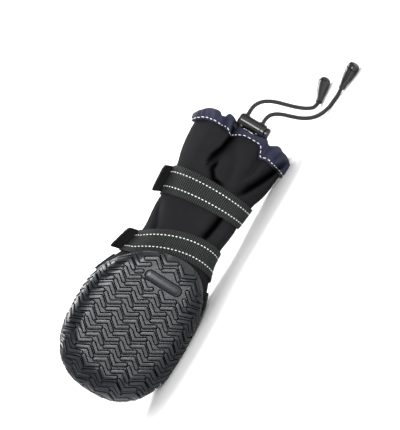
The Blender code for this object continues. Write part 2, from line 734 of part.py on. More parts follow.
def cord_solid(name, route, sides, finish):
    """A round cord along a route, mitred where the route bends."""
    route = np.asarray(route)
    runs = unit(np.diff(route, axis=0))
    across = unit(np.cross(runs[0], (0.3, 1.0, 0.2)))
    circle = turns(sides)
    rings = []
    for index, point in enumerate(route):
        before, after = runs[max(index - 1, 0)], runs[min(index, len(runs) - 1)]
        across = unit(across - before * (across @ before))
        other = np.cross(before, across)
        ring = CORD_DIAMETER / 2 * (np.outer(np.cos(circle), across) + np.outer(np.sin(circle), other))
        mitre = unit(before + after)
        ring -= np.outer(ring @ mitre / (before @ mitre), before)
        rings.append(point + ring)
        across = across - 2 * (across @ mitre) * mitre
    faces = loft_faces(len(rings), sides)
    faces.append(tuple(reversed(range(sides))))
    faces.append(tuple(range((len(rings) - 1) * sides, len(rings) * sides)))
    return add_solid(name, np.concatenate(rings), faces, finish, 50)


def lathe_solid(name, profile, origin, axis, sides, finish):
    """A body turned about an axis from (along, radius) points. The first and the last point lie on the axis."""
    across = unit(np.cross(axis, (0.2, 1.0, 0.1)))
    other = np.cross(axis, across)
    circle = turns(sides)
    spokes = np.outer(np.cos(circle), across) + np.outer(np.sin(circle), other)
    rings = [origin + along * axis + radius * spokes for along, radius in profile[1:-1]]
    poles = [origin + profile[0][0] * axis, origin + profile[-1][0] * axis]
    count = len(rings) * sides
    faces = loft_faces(len(rings), sides)
    faces += [(count, (column + 1) % sides, column) for column in range(sides)]
    last = count - sides
    faces += [(count + 1, last + column, last + (column + 1) % sides) for column in range(sides)]
    return add_solid(name, np.concatenate(rings + [np.array(poles)]), faces, finish, 35)


class Lock:
    """Where the cord lock sits: across the collar's front, its two holes over the tunnel's."""

    def __init__(self, lie):
        turn, exits = tunnel_turns()
        loops = lie.place(tunnel_loops(turn, TUNNEL_WALL))
        over, under = loops[3], lie.place(tunnel_loops(turn, -CORD_ROOM))[3]
        tops = [(over[column] + over[column + 1]) / 2 for column in exits]
        roots = [(under[column] + under[column + 1]) / 2 for column in exits]
        middle = (tops[0] + tops[1]) / 2
        self.axis = unit(tops[1] - tops[0])
        up = sum(tops) - sum(roots)
        self.ahead = unit(up - self.axis * (up @ self.axis))
        away = loops[2:5].reshape(-1, 3) - middle
        aside = np.abs(away @ np.cross(self.axis, self.ahead))
        near = (np.abs(away @ self.axis) < LOCK_LENGTH / 2 + PLUNGER_HEAD) & (aside < LOCK_DIAMETER / 2)
        self.centre = middle + self.ahead * ((away[near] @ self.ahead).max() + GAP + LOCK_DIAMETER / 2)
        self.holes = [self.centre + self.axis * side * CORD_SPACING / 2 for side in (-1, 1)]

    def cut_holes(self, body, hole):
        """Two holes right through a body of the lock, for the cords."""
        for number, at in enumerate(self.holes):
            profile = [(-LOCK_DIAMETER, 0), (-LOCK_DIAMETER, hole / 2), (LOCK_DIAMETER, hole / 2), (LOCK_DIAMETER, 0)]
            cutter = lathe_solid(f"{body.name}_hole_{number}", profile, at, self.ahead, LOCK_SIDES, None)
            cutter.hide_render = True
            cutter.display_type = "WIRE"
            cut = body.modifiers.new(cutter.name, "BOOLEAN")
            cut.operation = "DIFFERENCE"
            cut.solver = "EXACT"
            cut.object = cutter

    def barrel(self, finish):
        bore = LOCK_DIAMETER / 2 - LOCK_WALL
        start = self.centre - self.axis * LOCK_LENGTH / 2
        profile = [
            (LOCK_WALL, 0), (LOCK_WALL, bore), (LOCK_LENGTH, bore), (LOCK_LENGTH, LOCK_DIAMETER / 2),
            (LOCK_WALL / 2, LOCK_DIAMETER / 2), (0, LOCK_DIAMETER / 2 - LOCK_WALL / 2), (0, 0),
        ]
        body = lathe_solid("lock_barrel", profile, start, self.axis, LOCK_SIDES, finish)
        self.cut_holes(body, LOCK_HOLE)
        return body

    def plunger(self, finish):
        stem = LOCK_DIAMETER / 2 - LOCK_WALL - GAP
        head = LOCK_DIAMETER / 2 - LOCK_WALL / 2
        start = self.centre - self.axis * LOCK_LENGTH / 2
        neck = LOCK_LENGTH + PLUNGER_REST
        profile = [
            (LOCK_WALL + GAP, 0), (LOCK_WALL + GAP, stem), (neck, stem), (neck, head),
            (neck + PLUNGER_HEAD * 0.7, head), (neck + PLUNGER_HEAD, head * 0.75), (neck + PLUNGER_HEAD, 0),
        ]
        body = lathe_solid("lock_plunger", profile, start, self.axis, LOCK_SIDES, finish)
        self.cut_holes(body, LOCK_HOLE)
        return body


def drawcord_solid(lie, lock, finish):
    """The cord inside the tunnel, all the way round, up through the tunnel's holes and half through the lock."""
    turn, exits = tunnel_turns()
    edge, normals, up = collar_frame(turn)
    lowest = TUNNEL_WALL + GAP + CORD_DIAMETER / 2
    centres = lie.place(edge + up * CORD_AT - normals * UPPER_WALL / 2, lowest)
    corners = [(centres[column] + centres[column + 1]) / 2 for column in exits]
    inside = [centres[index % len(turn)] for index in range(exits[1] + 2, exits[0] + len(turn))]
    route = [lock.holes[0] - lock.ahead * CORD_JOIN / 2, corners[0]]
    route += inside[::-1] + [corners[1], lock.holes[1] - lock.ahead * CORD_JOIN / 2]
    return cord_solid("drawcord", route, CORD_SIDES - 2, finish)


def free_cord(number, lock, cord, plastic):
    """One tail of the drawcord: it leaves the lock, falls to the floor and ends in a bell-shaped fitting."""
    hole = lock.holes[number]
    leaves = hole + lock.ahead * (LOCK_DIAMETER / 2 + GAP)
    table = np.array(CORD_ROUTES[number])
    fine = np.linspace(0, len(table) - 1, 14)
    ahead, aside, height = curve_through(np.arange(len(table)), table, fine).T
    radius = CORD_DIAMETER / 2
    falls = radius + np.maximum(height, 0) * (leaves[2] - radius)
    route = np.stack([leaves[0] + ahead, leaves[1] + aside, falls], -1)
    neck = route[-1]
    heading = unit((route[-1] - route[-3]) * (1, 1, 0))
    rise = math.atan2(BELL_WIDE - BELL_NARROW, 2 * BELL_LENGTH)
    axis = heading * math.cos(rise) + np.array([0, 0, math.sin(rise)])
    neck = np.array([neck[0], neck[1], BELL_NARROW / 2 / math.cos(rise) + BELL_OFF_FLOOR])
    route[-1] = neck
    socket = BELL_LENGTH * 0.3
    ends = [hole + lock.ahead * CORD_JOIN / 2]
    cord_solid(f"cord_tail_{number + 1}", [*ends, *route, neck + axis * (socket - GAP)], CORD_SIDES, cord)
    bore = CORD_DIAMETER / 2 + GAP
    narrow, wide = BELL_NARROW / 2, BELL_WIDE / 2
    bell = [
        (socket, 0), (socket, bore), (0, bore), (0, narrow), (BELL_LENGTH * 0.25, narrow * 1.08),
        (BELL_LENGTH * 0.55, (narrow + wide) * 0.52), (BELL_LENGTH * 0.85, wide * 0.96), (BELL_LENGTH, wide),
        (BELL_LENGTH, 0),
    ]
    lathe_solid(f"cord_end_{number + 1}", bell, neck, axis, LOCK_SIDES - 4, plastic)
    cap = [
        (BELL_LENGTH + GAP, 0), (BELL_LENGTH + GAP, wide), (BELL_LENGTH + CAP_LENGTH * 0.5, wide * 0.97),
        (BELL_LENGTH + CAP_LENGTH, wide * 0.62), (BELL_LENGTH + CAP_LENGTH, 0),
    ]
    lathe_solid(f"end_cap_{number + 1}", cap, neck, axis, LOCK_SIDES - 4, plastic)


def stand_at_centre():
    """Hangs every object on an empty, so that the middle of the boot's underside is the origin."""
    middle = bpy.data.objects.new("boot", None)
    bpy.context.scene.collection.objects.link(middle)
    low, high = np.full(3, np.inf), np.full(3, -np.inf)
    for piece in bpy.data.objects:
        if piece.type != "MESH" or piece.hide_render or piece.name.startswith(FREE_ENDS):
            continue
        corners = np.array([corner.co for corner in piece.data.vertices])
        low, high = np.minimum(low, corners.min(0)), np.maximum(high, corners.max(0))
    for piece in bpy.data.objects:
        if piece is not middle:
            piece.parent = middle
    middle.location = (-(low[0] + high[0]) / 2, -(low[1] + high[1]) / 2, 0)


def main():
    for old in list(bpy.data.objects):
        bpy.data.objects.remove(old)
    rubber = material("rubber", (0.035, 0.036, 0.040), 0.55)
    softshell = material("softshell", (0.030, 0.030, 0.032), 0.85)
    lining = material("lining", (0.050, 0.050, 0.055), 0.9)
    webbing = material("webbing", (0.026, 0.030, 0.029), 0.8)
    hook_tape = material("hook_tape", (0.012, 0.012, 0.013), 0.9)
    navy = material("navy_fabric", (0.048, 0.050, 0.100), 0.8)
    cord = material("cord", (0.014, 0.014, 0.015), 0.8)
    plastic = material("plastic", (0.008, 0.008, 0.009), 0.25)
    around = turns(360)
    edge = side_of_sole(around)[0]
    sole_side = cup_point(around, edge, 0.0, edge)
    lie = Lie(sole_side, np.concatenate(list(tunnel_loops(turns(COLUMNS), TUNNEL_WALL))))
    outsole_solid(Tread(), lie, rubber)
    upper_solid(lie, softshell)
    insole_solid(lie, lining)
    instep_band_solid(lie, webbing)
    strap_solid("lower_strap", LOWER_STRAP_AT, LOWER_STRAP_TILT, lie, webbing)
    strap_solid("upper_strap", UPPER_STRAP_AT, UPPER_STRAP_TILT, lie, webbing)
    strap_end_solid("lower_strap_end", LOWER_STRAP_AT, LOWER_STRAP_TILT, lie, hook_tape)
    strap_end_solid("upper_strap_end", UPPER_STRAP_AT, UPPER_STRAP_TILT, lie, hook_tape)
    tunnel_solid(lie, navy)
    lock = Lock(lie)
    lock.barrel(plastic)
    lock.plunger(plastic)
    drawcord_solid(lie, lock, cord)
    free_cord(0, lock, cord, plastic)
    free_cord(1, lock, cord, plastic)
    stand_at_centre()


main()
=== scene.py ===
"""The looks of a dog boot that lies on its side: the camera, the light, and every visible piece of the boot.

The surfaces are worked out in the boot's own frame, as in the part's source: x from the toe to the collar,
y the depth behind the tread's face, z the side that ends up on top. Lie.place lays them down in the row
frame.
"""

import math

import bpy
import numpy as np
from mathutils import Matrix, Vector
from mathutils.geometry import delaunay_2d_cdt


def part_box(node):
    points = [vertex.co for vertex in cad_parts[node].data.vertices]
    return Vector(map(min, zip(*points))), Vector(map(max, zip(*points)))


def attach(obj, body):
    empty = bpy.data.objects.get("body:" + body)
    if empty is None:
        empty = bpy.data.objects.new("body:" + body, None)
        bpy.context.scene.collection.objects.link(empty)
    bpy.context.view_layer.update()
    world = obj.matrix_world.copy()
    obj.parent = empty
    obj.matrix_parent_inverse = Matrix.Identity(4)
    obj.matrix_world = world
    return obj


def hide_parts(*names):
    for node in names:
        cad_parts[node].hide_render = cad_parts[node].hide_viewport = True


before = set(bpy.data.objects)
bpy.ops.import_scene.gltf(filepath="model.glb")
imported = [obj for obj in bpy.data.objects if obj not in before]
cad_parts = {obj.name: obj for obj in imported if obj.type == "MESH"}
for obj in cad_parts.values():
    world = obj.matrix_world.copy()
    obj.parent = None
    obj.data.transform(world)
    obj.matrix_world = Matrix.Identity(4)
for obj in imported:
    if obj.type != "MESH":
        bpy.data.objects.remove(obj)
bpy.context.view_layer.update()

# Sizes of the boot, as in the part's source
SOLE_LENGTH = 0.1170
SOLE_WIDTH = 0.0892
TOE_TO_WIDEST = 0.0575
TOE_SQUARENESS = 2.5
HEEL_SQUARENESS = 2.2
SOLE_WALL = 0.0020
EDGE_ROUND = 0.0130
RIM_HEIGHT = 0.0240
WALL_LEAN = math.radians(10)
BEAD_HEIGHT = 0.0034
BEAD_RELIEF = 0.0009
HEEL_FLAP = 0.0080
HEEL_TUCK_FROM = 0.80 * SOLE_LENGTH
HEEL_LIP = 0.0012
LUG_HEIGHT = 0.0014
LUG_WIDTH = 0.00265
LUG_CLEARANCE = 0.0008
CELL_ACROSS = (0.01030, -0.01668)
CELL_ALONG = (-0.01144, 0.00134)
LUG_BAR = (-0.00428, 0.00713)
LUG_LEG = (-0.00469, -0.00546)
SECOND_KNEE = (-0.00061, -0.00690)
FIRST_KNEE = (0.0171, 0.0117)
PAD_LENGTH = 0.0295
PAD_WIDTH = 0.0076
PAD_CENTRE = (0.0381, -0.0050)
UPPER_WALL = 0.0016
SHAFT_LENGTH = 0.0990
INSTEP_HEIGHT = 0.0500
ANKLE_WIDTH = 0.0574
COLLAR_WIDTH = 0.0745
UPPER_EDGE_ROUND = 0.0085
SOLE_MARGIN = 0.0110
INSOLE_THICKNESS = 0.0030
INSOLE_ROOM = 0.0012
WEBBING_WIDTH = 0.0200
WEBBING_THICKNESS = 0.0014
WEBBING_ROOM = 0.0005
STRAP_OUTSIDE = WEBBING_ROOM + WEBBING_THICKNESS
LOWER_STRAP_AT = 0.0036
UPPER_STRAP_AT = 0.0485
LOWER_STRAP_TILT = math.radians(12)
UPPER_STRAP_TILT = math.radians(6)
STRAP_HINGE = 0.0115
INSTEP_BAND_AT = 0.0900
INSTEP_BAND_REACH = math.radians(100)
BAND_PRESS = 0.0050
END_LENGTH = 0.0085
END_THICKNESS = 0.0018
END_STANDS_OFF = math.radians(50)
END_TURN = 0.27
END_TRAIL = 0.25
END_INSET = 0.0008
TUNNEL_LEAF = 0.0055
TUNNEL_WALL = 0.0012
CORD_AT = 0.0024
CORD_DIAMETER = 0.0030
CORD_ROOM = 0.0005
CORD_SPACING = 0.0126
LOCK_LENGTH = 0.0215
LOCK_DIAMETER = 0.0098
LOCK_WALL = 0.0011
LOCK_HOLE = 0.0038
PLUNGER_HEAD = 0.0034
PLUNGER_REST = 0.0005
BELL_LENGTH = 0.0180
BELL_WIDE = 0.0092
BELL_NARROW = 0.0050
CAP_LENGTH = 0.0040
BELL_OFF_FLOOR = 0.0001
GAP = 0.0003
SKEW = 0.19
FLOOR_PRESS = 0.0008
CAD_COLUMNS = 44
BASE = LUG_HEIGHT + SOLE_WALL
SKEW_GROWS = (0.55 * SOLE_LENGTH, 0.98 * SOLE_LENGTH)
SKEW_FADES = (SOLE_LENGTH + 0.12 * SHAFT_LENGTH, SOLE_LENGTH + 0.75 * SHAFT_LENGTH)

# How the straps bow on the camera's side, which only the looks have: the amount, the place across and half
# the width, in metres. A bow turns round beyond its width, by BOW_TURNS of its amount at most, and fades out
# between the depths BOW_FADES.
LOWER_STRAP_BOW = (0.0048, -0.0080, 0.0280)
UPPER_STRAP_BOW = (0.0016, 0.0050, 0.0300)
NO_BOW = (0.0, 0.0, 1.0)
BOW_FADES = (0.48 * INSTEP_HEIGHT, 0.76 * INSTEP_HEIGHT)
BOW_TURNS = 0.6

# The turns between which the cords come out of the collar, and how near to them an even column may lie, in
# columns
COLLAR_FRONT = (0.86 * math.pi, 1.14 * math.pi)
EXIT_ROOM = 0.6
# How far from the cord lock's middle the drawcord's ends lie, and how far from the instep band's ends its
# stitches stop
DRAWCORD_SHORT = 0.001
STITCHES_SHORT = math.radians(4)

# How finely the pieces are cut: rows up the boot, columns round it and steps along a line
END_ROWS = 9
END_COLUMNS = 13
LIE_COLUMNS = 360
LIE_ROUNDS = 4
COLLAR_ROWS = 9
FRONT_STEPS = 121
CORD_STEPS = 61
BELL_STEPS = 12
DRAWCORD_STEPS = 260
TAIL_SIDES = 16
DRAWCORD_SIDES = 10
LOCK_SIDES = 64
PLUNGER_SIDES = 48
BELL_SIDES = 40
LIP_SIDES = 32
TREAD_STEPS = 1441
FLOOR_ROWS = 12
TREAD_CELLS = range(-9, 10)
OUTLINE_ROWS = 141
SOLE_COLUMNS = 240
UPPER_COLUMNS = 310
UPPER_CROWDING = 0.42
UPPER_ROWS = (16, 30, 106)
INSOLE_COLUMNS = 160
BAND_COLUMNS = 220
BAND_STATIONS = 15
STITCH_COLUMNS = 400
COLLAR_COLUMNS = 440

SOLE_SIDE = (
    # share of the half turn from the toe, share of EDGE_ROUND, share of RIM_HEIGHT
    (0.00, 1.45, 1.17),
    (0.25, 1.25, 1.10),
    (0.50, 1.00, 1.00),
    (0.66, 0.90, 0.74),
    (0.80, 0.60, 0.42),
    (1.00, 0.31, 0.19),
)
# The last above the sole's rim, as loops through an instep point and a heel point. Depths and bows are shares
# of INSTEP_HEIGHT, and the last two columns are shares of the way from the ankle's width to the sole's and to
# the collar's.
LAST = (
    # instep along, instep depth, heel along, heel depth, bow, to the ball, to the collar
    (0.19, 0.87, 0.945, 0.205, 0.13, 0.870, 0.00),
    (0.42, 1.00, 0.960, 0.215, 0.08, 0.690, 0.00),
    (0.68, 1.01, 0.980, 0.222, 0.04, 0.400, 0.00),
    (0.88, 0.96, 1.015, 0.230, 0.01, 0.130, 0.00),
    (1.02, 0.94, 1.090, 0.240, 0.00, 0.000, 0.00),
    (1.21, 0.96, 1.260, 0.262, 0.00, 0.000, 0.00),
    (1.42, 1.02, 1.460, 0.280, 0.00, 0.000, 0.20),
    (1.60, 1.09, 1.645, 0.292, -0.02, 0.000, 0.40),
    (1.78, 1.17, 1.825, 0.300, -0.06, 0.000, 0.78),
    (1.89, 1.21, 1.925, 0.305, -0.13, 0.000, 0.95),
    (1.98, 1.23, 2.000, 0.310, -0.18, 0.000, 0.98),
)
LAST_SQUARENESS = 2.35
# The rows of the last inside the cup, as shares of the way from its floor to its rim
CUP_ROWS = (0.0, 0.10, 0.32, 0.64, 1.0)
# The shaft's folds: turns and spreads are shares of a full turn, heights of the shaft and depths of the
# collar's width
FOLDS = (
    # turn up, turn down, high, low, depth, spread
    (0.452, 0.462, 1.08, 0.62, 0.085, 0.050),
    (0.568, 0.548, 1.08, 0.70, 0.070, 0.055),
    (0.655, 0.600, 1.08, 0.55, 0.060, 0.060),
    (0.355, 0.375, 1.08, 0.80, 0.045, 0.055),
    (0.060, 0.050, 1.08, 0.55, 0.075, 0.060),
    (0.190, 0.160, 1.08, 0.75, 0.045, 0.060),
    (0.920, 0.940, 1.08, 0.60, 0.080, 0.060),
    (0.800, 0.830, 1.08, 0.75, 0.045, 0.060),
)
# The free cords' routes from the cord lock: metres ahead and aside, and the height, where 1 is the hole's and
# 0 is on the floor
CORD_ROUTES = (
    (
        (0.0, 0.0, 1.0), (0.0045, 0.0, 1.0), (0.0088, 0.0003, 0.978), (0.013, 0.001, 0.915),
        (0.0163, 0.0022, 0.815), (0.0186, 0.0036, 0.7), (0.0204, 0.0052, 0.575), (0.0221, 0.007, 0.445),
        (0.0241, 0.009, 0.315), (0.0268, 0.0115, 0.18), (0.0305, 0.0144, 0.07), (0.0358, 0.0178, 0.025),
    ),
    (
        (0.0, 0.0, 1.0), (0.004, 0.0, 0.995), (0.0078, -0.0006, 0.955), (0.0108, -0.0018, 0.86),
        (0.013, -0.0034, 0.73), (0.0147, -0.0053, 0.58), (0.0166, -0.0073, 0.425), (0.0192, -0.0093, 0.275),
        (0.023, -0.0114, 0.145), (0.0283, -0.0137, 0.05), (0.0345, -0.0162, 0.004), (0.04, -0.0184, 0.0),
        (0.0455, -0.0211, 0.006), (0.0502, -0.0241, 0.034),
    ),
)

# The picture: the boot's own length lies 59 degrees above the picture's right, seen square to the tread
VIEW_ROLL = math.radians(59)
PICTURE_WIDTH = 0.290
PICTURE_MIDDLE = (0.1510, 0.0150, -0.0020)
CAMERA_AWAY = 1.90
LIGHTS = (
    # name, towards, size, watts, and the target and the distance where they aren't the boot and 1.3 m
    ("key", (0.02, -1.0, 0.42), 0.45, 12.0),
    ("side", (-1.0, -0.5, 0.7), 0.8, 1.6),
    ("fill", (0.9, -0.8, 0.5), 1.2, 4.5),
    ("top", (0.1, 0.5, 1.0), 1.4, 10.0),
    ("backdrop", (0.0, -0.5, 1.0), 2.0, 150.0, (0.0, 2.6, 0.3), 2.0),
)
SKY = 0.34


def curve_through(keys, values, at):
    """A smooth curve through values at keys, with each key's slope taken from its neighbours."""
    keys, values, at = (np.asarray(item, float) for item in (keys, values, at))
    slopes = np.gradient(values, keys, axis=0)
    left = np.clip(np.searchsorted(keys, at, side="right") - 1, 0, len(keys) - 2)
    span = keys[left + 1] - keys[left]
    share = (at - keys[left]) / span
    shape = share.shape + (1,) * (values.ndim - 1)
    share, span = share.reshape(shape), span.reshape(shape)
    return (
        (1 + 2 * share) * (1 - share) ** 2 * values[left]
        + share * (1 - share) ** 2 * span * slopes[left]
        + share**2 * (3 - 2 * share) * values[left + 1]
        + share**2 * (share - 1) * span * slopes[left + 1]
    )


def smooth_step(value, low, high):
    share = np.clip((value - low) / (high - low), 0, 1)
    return share * share * (3 - 2 * share)


def unit(vectors):
    return vectors / np.maximum(np.linalg.norm(vectors, axis=-1, keepdims=True), 1e-12)


def turns(columns):
    return np.arange(columns) * 2 * math.pi / columns


def egg(turn, toe, heel, half, toe_square, heel_square):
    """Two half superellipses that meet at the widest place: |x/reach|^n + |z/half|^n = 1 on either side."""
    ahead = np.cos(turn) >= 0
    power = 2 / np.where(ahead, toe_square, heel_square)
    along = np.where(ahead, -toe, heel) * np.abs(np.cos(turn)) ** power
    across = half * np.sign(np.sin(turn)) * np.abs(np.sin(turn)) ** power
    return along, across


def side_of_sole(turn):
    """The radius of the sole's rounded edge and the depth of its rim, round the boot."""
    from_toe = np.abs((turn / math.pi + 1) % 2 - 1)
    table = np.array(SOLE_SIDE)
    edge, rim = curve_through(table[:, 0], table[:, 1:], from_toe).T
    edge = edge * EDGE_ROUND
    return edge, np.maximum(rim * RIM_HEIGHT, np.maximum(edge, BASE) + HEEL_LIP / 2)


def inside_outline(depth, edge, inset):
    """How far inside the sole's outline its side lies at a depth: a round edge, then a wall that leans in."""
    radius = np.maximum(edge - inset, 0)
    past = depth - edge
    round_end = radius * math.sin(WALL_LEAN)
    rounded = edge - np.sqrt(np.maximum(radius**2 - np.minimum(past, round_end) ** 2, 0))
    leaning = np.maximum(past - round_end, 0) * math.tan(WALL_LEAN)
    return rounded + leaning + np.maximum(inset - edge, 0)


def cup_point(turn, depth, inset, edge, extra=0.0):
    """Points of the cup's side, this far in from the surface that the lugs' tops lie on."""
    inside = inside_outline(depth, edge, inset) + extra
    along, across = egg(
        turn,
        TOE_TO_WIDEST - inside,
        SOLE_LENGTH - TOE_TO_WIDEST - inside,
        SOLE_WIDTH / 2 - inside,
        TOE_SQUARENESS,
        HEEL_SQUARENESS,
    )
    return np.stack([TOE_TO_WIDEST + along, np.broadcast_to(depth, along.shape), across], -1)


def along_boot(share):
    """A length along the boot, where 1 is the sole's end and 2 the collar."""
    return SOLE_LENGTH * min(share, 1.0) + SHAFT_LENGTH * max(share - 1.0, 0.0)


def last_loop(turn, row):
    """One loop of the last above the rim, in a plane through its instep point and its heel point."""
    instep_along, instep_depth, heel_along, heel_depth, bow, to_ball, to_collar = row
    instep = np.array([along_boot(instep_along), instep_depth * INSTEP_HEIGHT])
    heel = np.array([along_boot(heel_along), heel_depth * INSTEP_HEIGHT])
    half = (
        ANKLE_WIDTH + to_ball * (SOLE_WIDTH - ANKLE_WIDTH) + to_collar * (COLLAR_WIDTH - ANKLE_WIDTH)
    ) / 2
    reach = np.linalg.norm(instep - heel) / 2
    towards_instep = (instep - heel) / (2 * reach)
    onwards = np.array([towards_instep[1], -towards_instep[0]])
    along, across = egg(turn, reach, reach, half, LAST_SQUARENESS, LAST_SQUARENESS)
    bowed = bow * INSTEP_HEIGHT * np.sin(turn) ** 2
    plane = (instep + heel) / 2 - np.outer(along, towards_instep) + np.outer(bowed, onwards)
    return np.stack([plane[:, 0], plane[:, 1], across], -1)


def tuck_heel(points):
    """Draws the upper's heel in from the sole's, which leaves the sole's heel flap standing free."""
    start, end = HEEL_TUCK_FROM, SOLE_LENGTH - BASE
    along = points[..., 0]
    drawn = start + (along - start) * (end - HEEL_FLAP - start) / (end - start)
    points[..., 0] = np.where(along > start, drawn, along)
    return points


def cup_loops(turn, inset, edge, rim, shares=CUP_ROWS):
    """Loops of the cup's side from its floor to its rim, this far in from the lugs' tops."""
    return [cup_point(turn, inset + (rim - inset) * share, inset, edge) for share in shares]


def last_keys(turn):
    """Loops of the upper's outside, from the edge of its opening over the sole to the collar's edge."""
    inset = BASE + GAP
    edge, rim = side_of_sole(turn)
    edge = np.maximum(edge, UPPER_EDGE_ROUND)
    rim = np.maximum(rim + GAP, edge + GAP)
    opening = cup_point(turn, np.full_like(turn, inset), inset, edge, SOLE_MARGIN)
    loops = [tuck_heel(loop) for loop in [opening] + cup_loops(turn, inset, edge, rim)]
    loops += [last_loop(turn, row) for row in LAST]
    return np.array(loops)


FIRST_FREE_ROW = 1 + len(CUP_ROWS)
RIM_ROW = FIRST_FREE_ROW - 1
ANKLE_ROW = FIRST_FREE_ROW + 3.5
TOP_ROW = FIRST_FREE_ROW + len(LAST) - 1


def grid_normals(points):
    """Outward normals of a grid whose columns run round the boot and whose rows run up it."""
    up = np.gradient(points, axis=0)
    round_boot = np.roll(points, -1, axis=1) - np.roll(points, 1, axis=1)
    return unit(np.cross(round_boot, up))


def fold_depth(turn, along):
    """How far the shaft's folds draw its surface in: a bell-shaped trough for each row of FOLDS."""
    share = (along - SOLE_LENGTH) / SHAFT_LENGTH
    turn_share = (turn / (2 * math.pi)) % 1
    depth = np.zeros_like(along)
    for turn_up, turn_down, high, low, deep, spread in FOLDS:
        height = np.clip((share - low) / (high - low), 0, 1)
        centre = turn_down + (turn_up - turn_down) * height
        away = np.abs((turn_share - centre + 0.5) % 1 - 0.5) / spread
        depth += deep * COLLAR_WIDTH * np.exp(-(away**2)) * smooth_step(share, low, high)
    return depth


def last_surface(rows, turn):
    """The upper's outside at these rows and turns, and its normals and directions up the boot."""
    keys = last_keys(turn)
    plain = curve_through(np.arange(len(keys)), keys, np.asarray(rows, float))
    normals = grid_normals(plain)
    folded = plain - normals * fold_depth(turn[None, :], plain[..., 0])[..., None]
    normals = grid_normals(folded)
    return folded, normals, unit(np.gradient(folded, axis=0))


def outline_band(lengths, offset, turn, tilt=0.0, bow=NO_BOW):
    """Loops round the plain last at these lengths along the boot, moved outwards: webbing bridges the folds.

    Each loop lies in a plane, which leans towards the toe as it gets deeper than STRAP_HINGE. On the camera's
    side a bow moves it up the boot by amount * (1 - ((across - centre) / half)^2).
    """
    keys = last_keys(turn)
    rows = np.linspace(RIM_ROW, TOP_ROW, OUTLINE_ROWS)
    plain = curve_through(np.arange(len(keys)), keys, rows)
    moved = plain + grid_normals(plain) * offset
    loops = np.empty((len(lengths), len(turn), 3))
    level = moved[..., 0] + (moved[..., 1] - STRAP_HINGE) * math.tan(tilt)
    amount, centre, half = bow
    front = 1 - smooth_step(moved[..., 1], *BOW_FADES)
    level = level - amount * front * np.maximum(1 - ((moved[..., 2] - centre) / half) ** 2, -BOW_TURNS)
    for column in range(len(turn)):
        for axis in range(3):
            loops[:, column, axis] = np.interp(lengths, level[:, column], moved[:, column, axis])
    return loops


def skewed(points):
    """The set that the slack ankle has taken: lengths on the top side are drawn towards the toe."""
    share = smooth_step(points[..., 0], *SKEW_GROWS)
    fading = 1 - smooth_step(points[..., 0], *SKEW_FADES)
    moved = points.copy()
    moved[..., 0] -= SKEW * share * fading * points[..., 2]
    return moved


def collar_frame(turn):
    """The collar's edge: its points, outward normals, and directions up the boot square to the edge."""
    rows = np.linspace(TOP_ROW - 1, TOP_ROW, COLLAR_ROWS)
    points, normals, up = (part[-1] for part in last_surface(rows, turn))
    along_edge = unit(np.roll(points, -1, axis=0) - np.roll(points, 1, axis=0))
    up = unit(up - along_edge * (up * along_edge).sum(1, keepdims=True))
    return points, normals, up


def tunnel_profile(grow, bends=5):
    """The folded band across the collar's edge, as (up the boot, outwards) from the shaft's outside."""
    middle = -UPPER_WALL / 2
    radius = (CORD_DIAMETER / 2 + CORD_ROOM + grow) / math.cos(math.pi / 8)
    angles = np.linspace(math.pi / 2, -math.pi / 2, bends)
    fold = np.stack([CORD_AT + radius * np.cos(angles), middle + radius * np.sin(angles)], -1)
    leaf = UPPER_WALL / 2 + GAP + grow
    return np.concatenate([[[-TUNNEL_LEAF, middle + leaf]], fold, [[-TUNNEL_LEAF, middle - leaf]]])


def tunnel_loops(turn, grow, bends=5):
    edge, normals, up = collar_frame(turn)
    return np.array(
        [edge + up * ahead + normals * outwards for ahead, outwards in tunnel_profile(grow, bends)]
    )


def tunnel_turns(even):
    """Turns for the tunnel's columns, with two pairs in front that leave a square for each cord's exit."""
    fine = np.linspace(*COLLAR_FRONT, FRONT_STEPS)
    across = collar_frame(fine)[0][:, 2]
    half = CORD_DIAMETER / 2 + CORD_ROOM
    wanted = np.array([1, 1, 0, -1, -1]) * CORD_SPACING / 2 + np.array([1, -1, 0, 1, -1]) * half
    front = np.interp(-wanted, -across, fine)
    spare = EXIT_ROOM * (even[1] - even[0])
    kept = even[(even < front[0] - spare) | (even > front[-1] + spare)]
    turn = np.sort(np.concatenate([kept, front]))
    exits = [int(np.searchsorted(turn, front[0])), int(np.searchsorted(turn, front[3]))]
    return turn, exits


